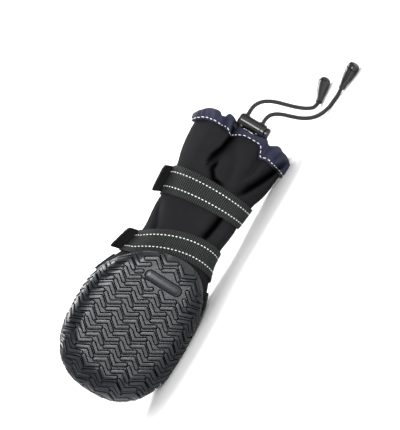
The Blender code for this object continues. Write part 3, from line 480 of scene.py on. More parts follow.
class Lie:
    """How the boot lies: leant back until the sole's side is flat on the floor, turned level and pressed.

    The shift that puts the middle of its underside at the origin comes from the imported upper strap's corner.
    """

    def __init__(self):
        around = turns(LIE_COLUMNS)
        edge = side_of_sole(around)[0]
        sole_points = cup_point(around, edge, 0.0, edge)
        collar_points = np.concatenate(list(tunnel_loops(turns(CAD_COLUMNS), TUNNEL_WALL)))
        self.turned = np.eye(3)
        for _ in range(LIE_ROUNDS):
            sole = self.rotated(sole_points)
            collar = self.rotated(collar_points)
            low_sole = sole[sole[:, 2].argmin()]
            low_collar = collar[collar[:, 2].argmin()]
            slope = math.atan2(low_collar[2] - low_sole[2], low_collar[0] - low_sole[0])
            level = np.array(
                [[math.cos(slope), 0, math.sin(slope)], [0, 1, 0], [-math.sin(slope), 0, math.cos(slope)]]
            )
            self.turned = level @ self.turned
        self.shift = np.array([0, 0, -self.rotated(sole_points)[:, 2].min() - FLOOR_PRESS])
        lengths = SOLE_LENGTH + UPPER_STRAP_AT + WEBBING_WIDTH * np.array([-0.5, 0.5])
        around = turns(CAD_COLUMNS)
        strap = self.place(outline_band(lengths, STRAP_OUTSIDE, around, UPPER_STRAP_TILT))
        self.shift[:2] = np.array(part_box("upper_strap")[0])[:2] - strap.reshape(-1, 3).min(0)[:2]

    def rotated(self, points):
        lean = np.array(
            [
                [1, 0, 0],
                [0, math.cos(WALL_LEAN), math.sin(WALL_LEAN)],
                [0, -math.sin(WALL_LEAN), math.cos(WALL_LEAN)],
            ]
        )
        return skewed(points) @ (self.turned @ lean).T

    def place(self, points, floor=0.0):
        placed = self.rotated(points) + self.shift
        placed[..., 2] = np.maximum(placed[..., 2], floor)
        return placed


# Meshes


def squares(columns, strips, start=0):
    """The faces between loops of points that follow each other: this many strips, closed all round."""
    column = np.arange(columns)
    right = (column + 1) % columns
    low = start + columns * np.arange(strips)[:, None]
    high = low + columns
    corners = np.broadcast_arrays(low + column, low + right, high + right, high + column)
    return np.stack(corners, -1).reshape(-1, 4)


def fan(columns, start, middle, turned=False):
    """The triangles between a loop of points and a point in its middle."""
    column = start + np.arange(columns)
    right = start + (np.arange(columns) + 1) % columns
    pair = (right, column) if turned else (column, right)
    return np.stack([*pair, np.full(columns, middle)], 1)


def walk(line):
    """How far each point of a line lies from its start, along it."""
    return np.concatenate([[0], np.cumsum(np.linalg.norm(np.diff(line, axis=0), axis=1))])


def along_line(line, walked, at):
    """Points of a line at these distances from its start. Its own points lie at the distances walked."""
    return np.stack([np.interp(at, walked, line[:, axis]) for axis in range(3)], -1)


def make_mesh(name, points, quads, finish, uv=None, sharp=40):
    """A piece from points and faces, which are an array or a list of arrays of one count of corners each.

    uv holds one pair for each corner of each face, in the same order.
    """
    groups = quads if isinstance(quads, list) else [quads]
    mesh = bpy.data.meshes.new(name)
    counts = np.concatenate([np.full(len(group), group.shape[1]) for group in groups])
    corners = np.concatenate([group.reshape(-1) for group in groups])
    mesh.vertices.add(len(points))
    mesh.vertices.foreach_set("co", np.asarray(points, np.float32).reshape(-1))
    mesh.loops.add(len(corners))
    mesh.loops.foreach_set("vertex_index", corners.astype(np.int32))
    mesh.polygons.add(len(counts))
    mesh.polygons.foreach_set("loop_start", np.concatenate([[0], np.cumsum(counts)[:-1]]).astype(np.int32))
    mesh.update(calc_edges=True)
    if uv is not None:
        layer = mesh.uv_layers.new(name="surface")
        layer.data.foreach_set("uv", np.asarray(uv, np.float32).reshape(-1))
    mesh.validate()
    mesh.shade_smooth()
    mesh.set_sharp_from_angle(angle=math.radians(sharp))
    mesh.materials.append(finish)
    face_outwards(mesh)
    piece = bpy.data.objects.new(name, mesh)
    bpy.context.scene.collection.objects.link(piece)
    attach(piece, "root")
    return piece


def add_measure(piece, name, values):
    """A number for each of a piece's points, which its material reads."""
    layer = piece.data.attributes.new(name, "FLOAT", "POINT")
    layer.data.foreach_set("value", np.asarray(values, np.float32))


def face_outwards(mesh):
    """Turns a closed mesh's faces outwards, which its signed volume tells."""
    mesh.calc_loop_triangles()
    corners = np.empty(len(mesh.vertices) * 3)
    mesh.vertices.foreach_get("co", corners)
    faces = np.empty(len(mesh.loop_triangles) * 3, np.int32)
    mesh.loop_triangles.foreach_get("vertices", faces)
    first, second, third = corners.reshape(-1, 3)[faces.reshape(-1, 3)].transpose(1, 0, 2)
    if np.einsum("ij,ij->i", first, np.cross(second, third)).sum() < 0:
        mesh.flip_normals()


def surface_lengths(points, closed):
    """How far each grid point lies round and up its surface, with one more column where it closes."""
    if closed:
        points = np.concatenate([points, points[:, :1]], axis=1)
    round_steps = np.linalg.norm(np.diff(points, axis=1), axis=2)
    up_steps = np.linalg.norm(np.diff(points, axis=0), axis=2)
    across = np.concatenate([np.zeros((len(points), 1)), np.cumsum(round_steps, 1)], 1)
    up = np.concatenate([np.zeros((1, points.shape[1])), np.cumsum(up_steps, 0)], 0)
    return np.broadcast_to(across.mean(0), across.shape), up


def wall_mesh(name, outer, inner, finish, keep=None, closed=True, sharp=50):
    """A wall between two surfaces on one grid, closed at its edges. Its UV map has the outside's lengths."""
    rows, columns = outer.shape[:2]
    if keep is None:
        keep = np.ones((rows - 1, columns if closed else columns - 1), bool)
    row, column = np.nonzero(keep)
    right = (column + 1) % columns
    low, high = row * columns, (row + 1) * columns
    square = np.stack([low + column, low + right, high + right, high + column], 1)
    across, up = surface_lengths(outer, closed)
    at_row = np.stack([row, row, row + 1, row + 1], 1)
    at_column = np.stack([column, column + 1, column + 1, column], 1)
    uv = np.stack([across[at_row, at_column], up[at_row, at_column]], -1)
    under = rows * columns
    edges = np.stack([square, np.roll(square, -1, axis=1)], -1).reshape(-1, 2)
    edge_uv = np.stack([uv, np.roll(uv, -1, axis=1)], -2).reshape(-1, 2, 2)
    code = edges[:, 0] * under + edges[:, 1]
    alone = ~np.isin(code, edges[:, 1] * under + edges[:, 0])
    rim = edges[alone]
    bridge = np.stack([rim[:, 1], rim[:, 0], under + rim[:, 0], under + rim[:, 1]], 1)
    bridge_uv = edge_uv[alone][:, [1, 0, 0, 1]]
    faces = np.concatenate([square, square[:, ::-1] + under, bridge])
    used = np.zeros(2 * under, bool)
    used[faces.reshape(-1)] = True
    renumber = np.cumsum(used) - 1
    points = np.concatenate([outer.reshape(-1, 3), inner.reshape(-1, 3)])[used]
    uv = np.concatenate([uv, uv[:, ::-1], bridge_uv])
    return make_mesh(name, points, renumber[faces], finish, uv, sharp)


def lathe_mesh(name, profile, origin, axis, sides, finish, sharp=35):
    """A body turned about an axis from (along, radius) points. The first and the last lie on the axis."""
    across = unit(np.cross(axis, (0.2, 1.0, 0.1)))
    other = np.cross(axis, across)
    circle = turns(sides)
    spokes = np.outer(np.cos(circle), across) + np.outer(np.sin(circle), other)
    rings = [origin + along * axis + radius * spokes for along, radius in profile[1:-1]]
    poles = np.array([origin + profile[0][0] * axis, origin + profile[-1][0] * axis])
    column = np.arange(sides)
    right = (column + 1) % sides
    count = len(rings) * sides
    faces = [
        squares(sides, len(rings) - 1),
        np.stack([np.full(sides, count), right, column], 1),
        np.stack([np.full(sides, count + 1), count - sides + column, count - sides + right], 1),
    ]
    return make_mesh(name, np.concatenate(rings + [poles]), faces, finish, None, sharp)


def tube_mesh(name, route, radius, sides, finish):
    """A round cord along a route, with rounded ends and its length and its girth as its UV map."""
    route = np.asarray(route)
    heading = unit(np.gradient(route, axis=0))
    across = [unit(np.cross(heading[0], (0.3, 1.0, 0.2)))]
    for step in range(1, len(route)):
        carried = across[-1] - heading[step] * (across[-1] @ heading[step])
        across.append(unit(carried))
    across = np.array(across)
    other = np.cross(heading, across)
    circle = turns(sides)
    wide = np.full(len(route), radius)
    wide[[0, -1]] = 0.7 * radius
    rings = route[:, None] + wide[:, None, None] * (
        np.cos(circle)[None, :, None] * across[:, None] + np.sin(circle)[None, :, None] * other[:, None]
    )
    column = np.arange(sides)
    ends = [column[::-1][None], ((len(route) - 1) * sides + column)[None]]
    walked = walk(route)
    girth = np.arange(sides + 1) / sides
    uv = np.empty((len(route) - 1, sides, 4, 2))
    uv[..., :2, 0] = walked[:-1, None, None]
    uv[..., 2:, 0] = walked[1:, None, None]
    uv[..., [0, 3], 1] = girth[None, :-1, None]
    uv[..., [1, 2], 1] = girth[None, 1:, None]
    uv = np.concatenate([uv.reshape(-1, 2), np.zeros((2 * sides, 2))])
    faces = [squares(sides, len(route) - 1), *ends]
    return make_mesh(name, rings.reshape(-1, 3), faces, finish, uv, 60)


# Materials


class Shade:
    """A shader socket on which arithmetic adds Math nodes."""

    def __init__(self, tree, socket):
        self.tree = tree
        self.socket = socket

    def node(self, kind, settings=(), **inputs):
        """Any other node. Its inputs are named with underscores for spaces. Its first output comes back."""
        made = self.tree.nodes.new(kind)
        for key, value in dict(settings).items():
            setattr(made, key, value)
        for key, value in inputs.items():
            target = made.inputs[int(key[1:])] if key[1:].isdigit() else made.inputs[key.replace("_", " ")]
            if isinstance(value, Shade):
                self.tree.links.new(value.socket, target)
            else:
                target.default_value = value
        return Shade(self.tree, made.outputs[0])

    def math(self, operation, first, second=0.0):
        return self.node("ShaderNodeMath", {"operation": operation}, _0=first, _1=second)

    def __add__(self, other):
        return self.math("ADD", self, other)

    def __sub__(self, other):
        return self.math("SUBTRACT", self, other)

    def __mul__(self, other):
        return self.math("MULTIPLY", self, other)

    __radd__ = __add__
    __rmul__ = __mul__

    def wave(self):
        """Sine of a value, from 0 to 1, once for each whole number."""
        return self.math("SINE", self * (2 * math.pi)) * 0.5 + 0.5

    def output(self, name):
        return Shade(self.tree, self.socket.node.outputs[name])


class Finish:
    """A Principled material, with the patterns that its colour, roughness and bump are made of."""

    def __init__(self, name, colour, roughness, **constants):
        self.material = bpy.data.materials.new(name)
        self.material.use_nodes = True
        self.tree = self.material.node_tree
        self.shader = self.tree.nodes["Principled BSDF"]
        self.shader.inputs["Base Color"].default_value = (*colour, 1)
        self.shader.inputs["Roughness"].default_value = roughness
        for key, value in constants.items():
            self.shader.inputs[key.replace("_", " ")].default_value = value
        self.start = Shade(self.tree, None)

    def place(self):
        return self.start.node("ShaderNodeTexCoord").output("Object")

    def uv(self):
        """The surface's lengths as two values, round and up."""
        lengths = self.start.node("ShaderNodeTexCoord").output("UV")
        parts = self.start.node("ShaderNodeSeparateXYZ", _0=lengths)
        return parts.output("X"), parts.output("Y")

    def measure(self, name):
        """A number that the piece keeps for each of its points."""
        return self.start.node("ShaderNodeAttribute", {"attribute_name": name}).output("Fac")

    def noise(self, scale, detail=2.0):
        return self.start.node("ShaderNodeTexNoise", Vector=self.place(), Scale=scale, Detail=detail)

    def weave(self, threads):
        """A plain weave with this many threads a metre each way."""
        round_boot, up = self.uv()
        return (round_boot * threads).wave() * (up * threads).wave()

    def set(self, name, value):
        self.tree.links.new(value.socket, self.shader.inputs[name])
        return self

    def mix(self, share, low, high):
        """A colour between two, by a share. Each of the two is three numbers or another mix."""
        made = self.tree.nodes.new("ShaderNodeMix")
        made.data_type = "RGBA"
        self.tree.links.new(share.socket, made.inputs[0])
        for colour, target in ((low, made.inputs[6]), (high, made.inputs[7])):
            if isinstance(colour, Shade):
                self.tree.links.new(colour.socket, target)
            else:
                target.default_value = (*colour, 1)
        return Shade(self.tree, made.outputs[2])

    def bump(self, height, distance, strength=1.0):
        return self.set(
            "Normal", self.start.node("ShaderNodeBump", Strength=strength, Distance=distance, Height=height)
        )


def rubber_finish():
    finish = Finish("rubber", (0.010, 0.012, 0.014), 0.38, Specular_IOR_Level=0.42)
    cloud = finish.noise(90.0, 3.0)
    face = finish.mix(cloud, (0.0058, 0.0074, 0.0098), (0.0130, 0.0163, 0.0200))
    # The height measure paints the grooves near black and leaves the lugs' tops lighter: painted shade in the
    # grooves.
    finish.set("Base Color", finish.mix(finish.measure("height"), (0.0010, 0.0010, 0.0012), face))
    finish.set("Roughness", cloud * 0.20 + 0.20)
    return finish.bump(finish.noise(2600.0, 2.0), 0.00006, 0.5).material


def softshell_finish():
    finish = Finish("softshell", (0.012, 0.012, 0.013), 0.85, Specular_IOR_Level=0.06)
    cloud = finish.noise(55.0, 3.0)
    cloth = finish.mix(cloud, (0.0110, 0.0108, 0.0122), (0.019, 0.0188, 0.0208))
    # The hollow measure paints the creases' slits near black: painted shade.
    finish.set("Base Color", finish.mix(finish.measure("hollow"), cloth, (0.0003, 0.0003, 0.0003)))
    return finish.bump(finish.weave(2400) + finish.noise(1500.0, 1.0) * 0.6, 0.00005, 0.6).material


def lining_finish():
    finish = Finish("lining", (0.040, 0.040, 0.044), 0.9)
    return finish.bump(finish.noise(1800.0, 2.0), 0.0001, 0.6).material


def navy_finish():
    finish = Finish("navy_fabric", (0.028, 0.029, 0.062), 0.75, Specular_IOR_Level=0.25)
    cloud = finish.noise(160.0, 3.0)
    cloth = finish.mix(cloud, (0.014, 0.015, 0.031), (0.028, 0.031, 0.060))
    # The hollow measure paints the collar's crease slits darker: painted shade.
    finish.set("Base Color", finish.mix(finish.measure("hollow"), cloth, (0.004, 0.004, 0.008)))
    return finish.bump(finish.weave(2000), 0.00005, 0.5).material


def webbing_finish():
    """Ribs across the webbing, a little over a millimetre apart, and a finer weave along them."""
    finish = Finish("webbing", (0.016, 0.018, 0.017), 0.7, Specular_IOR_Level=0.18)
    round_boot, up = finish.uv()
    rib = (round_boot * 650).wave()
    weave = (up * 1900).wave()
    # The troughs between the ribs are painted near black and the crowns lighter: painted shade and light on
    # the ribs.
    ribbed = finish.mix(rib * 0.9 + weave * 0.1, (0.0003, 0.0004, 0.0004), (0.046, 0.052, 0.050))
    finish.set("Base Color", ribbed)
    return finish.bump(rib + weave * 0.3, 0.00035, 1.0).material


def hook_finish():
    finish = Finish("hook_tape", (0.006, 0.006, 0.0065), 0.85, Specular_IOR_Level=0.2)
    hooks = finish.start.node("ShaderNodeTexVoronoi", Vector=finish.place(), Scale=1100.0)
    return finish.bump(hooks, 0.0003, 1.0).material


def cord_finish():
    """A braid: two sets of strands that wind round the cord in opposite ways."""
    finish = Finish("cord", (0.012, 0.012, 0.013), 0.7)
    along, girth = finish.uv()
    braid = (along * 420 + girth * 4).wave() * (along * 420 - girth * 4).wave()
    finish.set("Base Color", finish.mix(braid, (0.006, 0.006, 0.007), (0.022, 0.022, 0.024)))
    return finish.bump(braid, 0.00025, 0.9).material


def plastic_finish():
    finish = Finish("plastic", (0.008, 0.008, 0.009), 0.22)
    return finish.set("Roughness", finish.noise(260.0, 2.0) * 0.14 + 0.16).material


def thread_finish():
    return Finish("reflective_thread", (0.85, 0.85, 0.85), 0.35).material


def floor_finish():
    return Finish("floor", (0.86, 0.86, 0.86), 0.65).material


# Camera and light


def add_camera(lie):
    """Square to the tread, as in the photograph, and rolled so that the boot lies slanting in the picture."""
    target = lie.place(np.array([PICTURE_MIDDLE]))[0]
    back = np.array([0, -math.cos(WALL_LEAN), math.sin(WALL_LEAN)])
    along = np.array([1.0, 0, 0])
    aside = np.array([0, math.sin(WALL_LEAN), math.cos(WALL_LEAN)])
    right = along * math.cos(VIEW_ROLL) - aside * math.sin(VIEW_ROLL)
    up = along * math.sin(VIEW_ROLL) + aside * math.cos(VIEW_ROLL)
    lens = bpy.data.cameras.new("camera")
    lens.sensor_fit = "HORIZONTAL"
    lens.sensor_width = 36.0
    lens.lens = 36.0 * CAMERA_AWAY / PICTURE_WIDTH
    lens.clip_end = 20.0
    camera = bpy.data.objects.new("camera", lens)
    place = Matrix((right, up, back)).transposed().to_4x4()
    place.translation = Vector(target + back * CAMERA_AWAY)
    camera.matrix_world = place
    bpy.context.scene.collection.objects.link(camera)
    bpy.context.scene.camera = camera


def add_light(name, towards, size, power, target=(0.0, 0.0, 0.04), away=1.3):
    """A soft square light, this way and this far from its target, which is the boot unless it is given."""
    lamp = bpy.data.lights.new(name, "AREA")
    lamp.size = size
    lamp.energy = power
    light = bpy.data.objects.new(name, lamp)
    direction = Vector(towards).normalized()
    light.location = Vector(target) + direction * away
    light.rotation_euler = direction.to_track_quat("Z", "Y").to_euler()
    bpy.context.scene.collection.objects.link(light)


def add_studio():
    """A pale floor that runs up into a backdrop, soft lights and an even sky."""
    run, rise, bend, behind = 5.0, 4.0, 0.8, 3.0
    arc = np.linspace(0, math.pi / 2, 13)
    curve = np.stack([behind + bend * np.sin(arc), bend * (1 - np.cos(arc))], -1)
    side = np.concatenate([[[-run, 0.0]], curve, [[behind + bend, rise]]])
    left = np.stack([np.full(len(side), -run), side[:, 0], side[:, 1]], -1)
    points = np.concatenate([left, left * (-1, 1, 1)])
    count = len(side)
    row = np.arange(count - 1)
    faces = np.stack([row, row + count, row + count + 1, row + 1], 1)
    mesh = bpy.data.meshes.new("floor")
    mesh.from_pydata(points.tolist(), [], faces.tolist())
    mesh.shade_smooth()
    mesh.materials.append(floor_finish())
    floor = bpy.data.objects.new("floor", mesh)
    bpy.context.scene.collection.objects.link(floor)
    for light in LIGHTS:
        add_light(*light)
    world = bpy.data.worlds.new("sky")
    world.use_nodes = True
    world.node_tree.nodes["Background"].inputs["Color"].default_value = (1.0, 1.0, 1.0, 1)
    world.node_tree.nodes["Background"].inputs["Strength"].default_value = SKY
    bpy.context.scene.world = world
    bpy.context.scene.view_settings.view_transform = "Standard"


# Cords, cord lock and fittings


class Lock:
    """Where the cord lock sits: across the collar's front, its two holes over the tunnel's."""

    def __init__(self, lie):
        turn, exits = tunnel_turns(turns(CAD_COLUMNS))
        loops = lie.place(tunnel_loops(turn, TUNNEL_WALL))
        over, under = loops[3], lie.place(tunnel_loops(turn, -CORD_ROOM))[3]
        self.tops = [(over[column] + over[column + 1]) / 2 for column in exits]
        roots = [(under[column] + under[column + 1]) / 2 for column in exits]
        middle = (self.tops[0] + self.tops[1]) / 2
        self.axis = unit(self.tops[1] - self.tops[0])
        up = sum(self.tops) - sum(roots)
        self.ahead = unit(up - self.axis * (up @ self.axis))
        away = loops[2:5].reshape(-1, 3) - middle
        aside = np.abs(away @ np.cross(self.axis, self.ahead))
        near = (np.abs(away @ self.axis) < LOCK_LENGTH / 2 + PLUNGER_HEAD) & (aside < LOCK_DIAMETER / 2)
        self.centre = middle + self.ahead * ((away[near] @ self.ahead).max() + GAP + LOCK_DIAMETER / 2)
        self.holes = [self.centre + self.axis * side * CORD_SPACING / 2 for side in (-1, 1)]


def rounded(profile, radius, steps=4):
    """A profile whose corners are rounded, by at most this radius."""
    profile = [np.array(point, float) for point in profile]
    smooth = [profile[0]]
    for before, corner, after in zip(profile, profile[1:], profile[2:]):
        back, forth = before - corner, after - corner
        room = min(radius, np.linalg.norm(back) * 0.45, np.linalg.norm(forth) * 0.45)
        start, end = corner + unit(back) * room, corner + unit(forth) * room
        for share in np.linspace(0, 1, steps):
            smooth.append((1 - share) ** 2 * start + 2 * share * (1 - share) * corner + share**2 * end)
    return smooth + [profile[-1]]


def cord_route(number, lock):
    """The route of one free cord, from the cord lock to its bell, and the bell's place and direction."""
    leaves = lock.holes[number] + lock.ahead * (LOCK_DIAMETER / 2 + GAP)
    table = np.array(CORD_ROUTES[number])
    steps = np.linspace(0, len(table) - 1, CORD_STEPS)
    ahead, aside, height = curve_through(np.arange(len(table)), table, steps).T
    radius = CORD_DIAMETER / 2
    falls = radius + np.maximum(height, 0) * (leaves[2] - radius)
    route = np.stack([leaves[0] + ahead, leaves[1] + aside, falls], -1)
    heading = unit((route[-1] - route[1 - BELL_STEPS]) * (1, 1, 0))
    rise = math.atan2(BELL_WIDE - BELL_NARROW, 2 * BELL_LENGTH)
    axis = heading * math.cos(rise) + np.array([0, 0, math.sin(rise)])
    neck = np.array([route[-1][0], route[-1][1], BELL_NARROW / 2 / math.cos(rise) + BELL_OFF_FLOOR])
    route[-BELL_STEPS:, 2] += (neck[2] - route[-1][2]) * np.linspace(0, 1, BELL_STEPS) ** 2
    return route, neck, axis


def add_free_cord(number, lock, cord, plastic):
    """One free cord with its bell and the bell's cap."""
    route, neck, axis = cord_route(number, lock)
    inside = [lock.holes[number] + lock.ahead * share * LOCK_DIAMETER / 2 for share in (0.2, 0.6)]
    socket = [neck + axis * BELL_LENGTH * share for share in (0.12, 0.27)]
    path = np.array([*inside, *route, *socket])
    tail = tube_mesh(f"tail_{number + 1}", path, CORD_DIAMETER / 2, TAIL_SIDES, cord)
    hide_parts(f"cord_tail_{number + 1}")
    narrow, wide = BELL_NARROW / 2, BELL_WIDE / 2
    bore = CORD_DIAMETER / 2 + 0.5 * GAP
    bell = [
        (BELL_LENGTH * 0.29, 0), (BELL_LENGTH * 0.29, bore), (0, bore), (0, narrow),
        (BELL_LENGTH * 0.05, narrow), (BELL_LENGTH * 0.25, narrow * 1.08),
        (BELL_LENGTH * 0.55, (narrow + wide) * 0.52), (BELL_LENGTH * 0.85, wide * 0.96),
        (BELL_LENGTH, wide), (BELL_LENGTH, wide * 0.5), (BELL_LENGTH, 0),
    ]
    bell = rounded(bell, 0.0006)
    end = lathe_mesh(f"bell_{number + 1}", bell, neck, axis, BELL_SIDES, plastic)
    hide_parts(f"cord_end_{number + 1}")
    shut = BELL_LENGTH + GAP
    cap = [
        (shut, 0), (shut, wide * 0.93), (shut + 0.0003, wide * 0.99),
        (shut + CAP_LENGTH * 0.35, wide * 0.985), (shut + CAP_LENGTH * 0.75, wide * 0.80),
        (shut + CAP_LENGTH * 0.93, wide * 0.45), (shut + CAP_LENGTH * 0.95, 0),
    ]
    cap = rounded(cap, 0.0005)
    top = lathe_mesh(f"bell_cap_{number + 1}", cap, neck, axis, BELL_SIDES, plastic)
    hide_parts(f"end_cap_{number + 1}")


def add_lock(lock, plastic):
    """The barrel with its cord holes' collars, and the plunger's head."""
    start = lock.centre - lock.axis * LOCK_LENGTH / 2
    outer = LOCK_DIAMETER / 2
    barrel = [
        (0.0002, 0), (0, outer * 0.62), (0.0005, outer * 0.84), (0.0016, outer * 0.985), (0.0030, outer),
        (LOCK_LENGTH - 0.0034, outer), (LOCK_LENGTH - 0.0030, outer * 1.03), (LOCK_LENGTH, outer * 1.03),
        (LOCK_LENGTH, outer - LOCK_WALL), (LOCK_LENGTH - 0.004, outer - LOCK_WALL), (LOCK_LENGTH - 0.004, 0),
    ]
    barrel = rounded(barrel, 0.0004)
    body = lathe_mesh("cord_lock", barrel, start, lock.axis, LOCK_SIDES, plastic)
    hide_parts("lock_barrel")
    stem, head = outer - LOCK_WALL - GAP, outer - LOCK_WALL / 2
    neck = LOCK_LENGTH + PLUNGER_REST
    plunger = [
        (LOCK_LENGTH - 0.0037, 0), (LOCK_LENGTH - 0.0037, stem), (neck, stem), (neck, head),
        (neck + PLUNGER_HEAD * 0.75, head * 0.97), (neck + PLUNGER_HEAD, head * 0.72),
        (neck + PLUNGER_HEAD, 0),
    ]
    plunger = rounded(plunger, 0.0006)
    pushed = lathe_mesh("plunger", plunger, start, lock.axis, PLUNGER_SIDES, plastic)
    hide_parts("lock_plunger")
    ring = LOCK_HOLE / 2
    lip = [
        (outer * 0.80, 0), (outer * 0.80, ring * 0.92), (outer, ring * 0.92), (outer * 1.05, ring),
        (outer * 1.03, ring * 1.35), (outer * 0.86, ring * 1.5), (outer * 0.75, ring * 1.5),
        (outer * 0.75, 0),
    ]
    for number, hole in enumerate(lock.holes):
        for side, way in (("front", 1), ("back", -1)):
            lip_axis = lock.ahead * way
            lathe_mesh(f"lock_lip_{number}_{side}", lip, hole, lip_axis, LIP_SIDES, plastic)


def add_drawcord(lie, lock, cord):
    """The cord in the tunnel, which shows only where it comes up into the lock."""
    turn, exits = tunnel_turns(turns(CAD_COLUMNS))
    edge, normals, up = collar_frame(turn)
    lowest = TUNNEL_WALL + GAP + CORD_DIAMETER / 2
    ahead = CORD_AT + collar_shift(edge, band_rise(CORD_AT, 0.0))
    centres = edge + up * ahead[:, None] - normals * UPPER_WALL / 2
    centres = lie.place(slack(centres)[0], lowest)
    corners = [(centres[column] + centres[column + 1]) / 2 for column in exits]
    inside = [centres[index % len(turn)] for index in range(exits[1] + 2, exits[0] + len(turn))]
    first, last = (hole - lock.ahead * DRAWCORD_SHORT for hole in lock.holes)
    route = np.array([first, corners[0], *inside[::-1], corners[1], last])
    walked = walk(route)
    smooth = along_line(route, walked, np.linspace(0, walked[-1], DRAWCORD_STEPS))
    piece = tube_mesh("cord_in_tunnel", smooth, CORD_DIAMETER / 2, DRAWCORD_SIDES, cord)
    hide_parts("drawcord")


# The sole


class Tread:
    """The pattern's plane, wrapped over the cup: straight out from the sole's centre and down over its side.

    A point of the plane lies at a heading and a distance from the centre. Up to the flat's edge it stays in
    the plane; beyond it, the rest of the distance is walked down the rounded edge and the leaning wall.
    """

    def __init__(self):
        self.turn = np.linspace(-math.pi, math.pi, TREAD_STEPS)
        self.edge, self.rim = side_of_sole(self.turn)
        flat = cup_point(self.turn, np.zeros_like(self.turn), 0.0, self.edge)
        self.flat_reach = np.hypot(flat[:, 0] - TOE_TO_WIDEST, flat[:, 2])
        self.heading = np.unwrap(np.arctan2(flat[:, 2], TOE_TO_WIDEST - flat[:, 0]))
        quarter = self.edge * (math.pi / 2 + WALL_LEAN)
        round_depth = self.edge * (1 + math.sin(WALL_LEAN))
        limit = self.rim - BEAD_HEIGHT
        within = np.arccos(np.clip(1 - limit / self.edge, -1, 1)) * self.edge
        beyond = quarter + (limit - round_depth) / math.cos(WALL_LEAN)
        self.reach = self.flat_reach + np.where(limit < round_depth, within, beyond)

    def at(self, values, heading):
        return np.interp(heading, self.heading, values)

    def surface(self, plane, height):
        """Points over pattern points (toe to heel, across), each this high above the lugs' base."""
        heading = np.arctan2(plane[:, 1], -plane[:, 0])
        past = np.maximum(np.hypot(plane[:, 0], plane[:, 1]) - self.at(self.flat_reach, heading), 0)
        turn, edge = self.at(self.turn, heading), self.at(self.edge, heading)
        bend = np.minimum(past / edge, math.pi / 2 + WALL_LEAN)
        straight = past - bend * edge
        depth = edge * (1 - np.cos(bend)) + straight * math.cos(WALL_LEAN)
        on_side = cup_point(turn, depth, 0.0, edge)
        flat = np.stack([TOE_TO_WIDEST + plane[:, 0], np.zeros(len(plane)), plane[:, 1]], -1)
        points = np.where((past > 0)[:, None], on_side, flat)
        outwards = np.stack(
            [np.cos(heading) * np.sin(bend), np.cos(bend), -np.sin(heading) * np.sin(bend)], -1
        )
        return points + outwards * (LUG_HEIGHT - height)[:, None]

    def holds(self, plane, margin=LUG_CLEARANCE):
        heading = np.arctan2(plane[:, 1], -plane[:, 0])
        return np.hypot(plane[:, 0], plane[:, 1]) < self.at(self.reach, heading) - margin


def unskewed(plane):
    """Pattern points that the skewed ankle brings back to where the even pattern has them."""
    points = np.stack([TOE_TO_WIDEST + plane[:, 0], np.zeros(len(plane)), plane[:, 1]], -1)
    return plane - (skewed(points) - points)[:, [0, 2]]


def lug_outline(path, radius, cap=7, knee=4):
    """The line at this distance round a path of one or two runs: round ends, and a round outer knee."""
    path = np.asarray(path, float)
    runs = unit(np.diff(path, axis=0))
    angles = np.arctan2(runs[:, 1], runs[:, 0])

    def arc(centre, start, end, count):
        sweep = np.linspace(start, end, count)
        return centre + radius * np.stack([np.cos(sweep), np.sin(sweep)], -1)

    quarter = math.pi / 2
    outline = [arc(path[0], angles[0] + quarter, angles[0] + 3 * quarter, cap)]
    if len(path) == 3:
        turning = (angles[1] - angles[0] + math.pi) % (2 * math.pi) - math.pi
        middle = unit(runs[1] - runs[0])
        inner = path[1] + middle * radius / math.sin((math.pi - abs(turning)) / 2)
        right_side = arc(path[1], angles[0] - quarter, angles[0] - quarter + turning, knee)
        left_side = arc(path[1], angles[0] + quarter + turning, angles[0] + quarter, knee)
        outline.append(right_side if turning > 0 else inner[None])
    outline.append(arc(path[-1], angles[-1] - quarter, angles[-1] + quarter, cap))
    if len(path) == 3:
        outline.append(inner[None] if turning > 0 else left_side)
    return np.concatenate(outline)


def clear_of_pad(path):
    samples = np.concatenate([np.linspace(path[i], path[i + 1], 9) for i in range(len(path) - 1)])
    away = samples - np.array(PAD_CENTRE)
    reach = (PAD_LENGTH - PAD_WIDTH) / 2
    away[:, 1] -= np.clip(away[:, 1], -reach, reach)
    return bool(np.hypot(*away.T).min() > (PAD_WIDTH + LUG_WIDTH) / 2 + LUG_CLEARANCE)


def lug_paths(tread):
    """The centre lines of the lugs that lie on the tread: whole, or cut short to one arm at its border."""
    knee, bar, leg = np.array(FIRST_KNEE), np.array(LUG_BAR), np.array(LUG_LEG)
    for step_across in TREAD_CELLS:
        for step_along in TREAD_CELLS:
            at = knee + step_across * np.array(CELL_ACROSS) + step_along * np.array(CELL_ALONG)
            for corner, way in ((at, 1), (at + np.array(SECOND_KNEE), -1)):
                tip, foot = corner + way * bar, corner + way * leg
                half_bar, half_leg = (corner + tip) / 2, (corner + foot) / 2
                for path in (
                    (tip, corner, foot), (tip, corner, half_leg), (half_bar, corner, foot), (tip, corner),
                    (corner, foot), (half_bar, corner, half_leg), (tip, half_bar), (half_leg, foot),
                    (half_bar, corner), (corner, half_leg),
                ):
                    outline = unskewed(lug_outline(path, LUG_WIDTH / 2))
                    if tread.holds(outline).all() and clear_of_pad(path):
                        yield path
                        break


# The land between the lugs, and a lug and the pad from their land to their top: how far outside the outline
# each ring lies, and how high above the lugs' base
LAND = 0.00080
LUG_RINGS = (
    (0.00060, LAND),
    (0.00050, 0.00030),
    (0.00014, 0.00005),
    (0.00000, 0.00035),
    (-0.00010, 0.00115),
    (-0.00030, 0.00136),
    (-0.00065, 0.00140),
)
PAD_RINGS = (
    (0.00050, LAND),
    (0.00030, 0.00010),
    (0.00000, 0.00030),
    (-0.00015, 0.00120),
    (-0.00050, 0.00140),
)
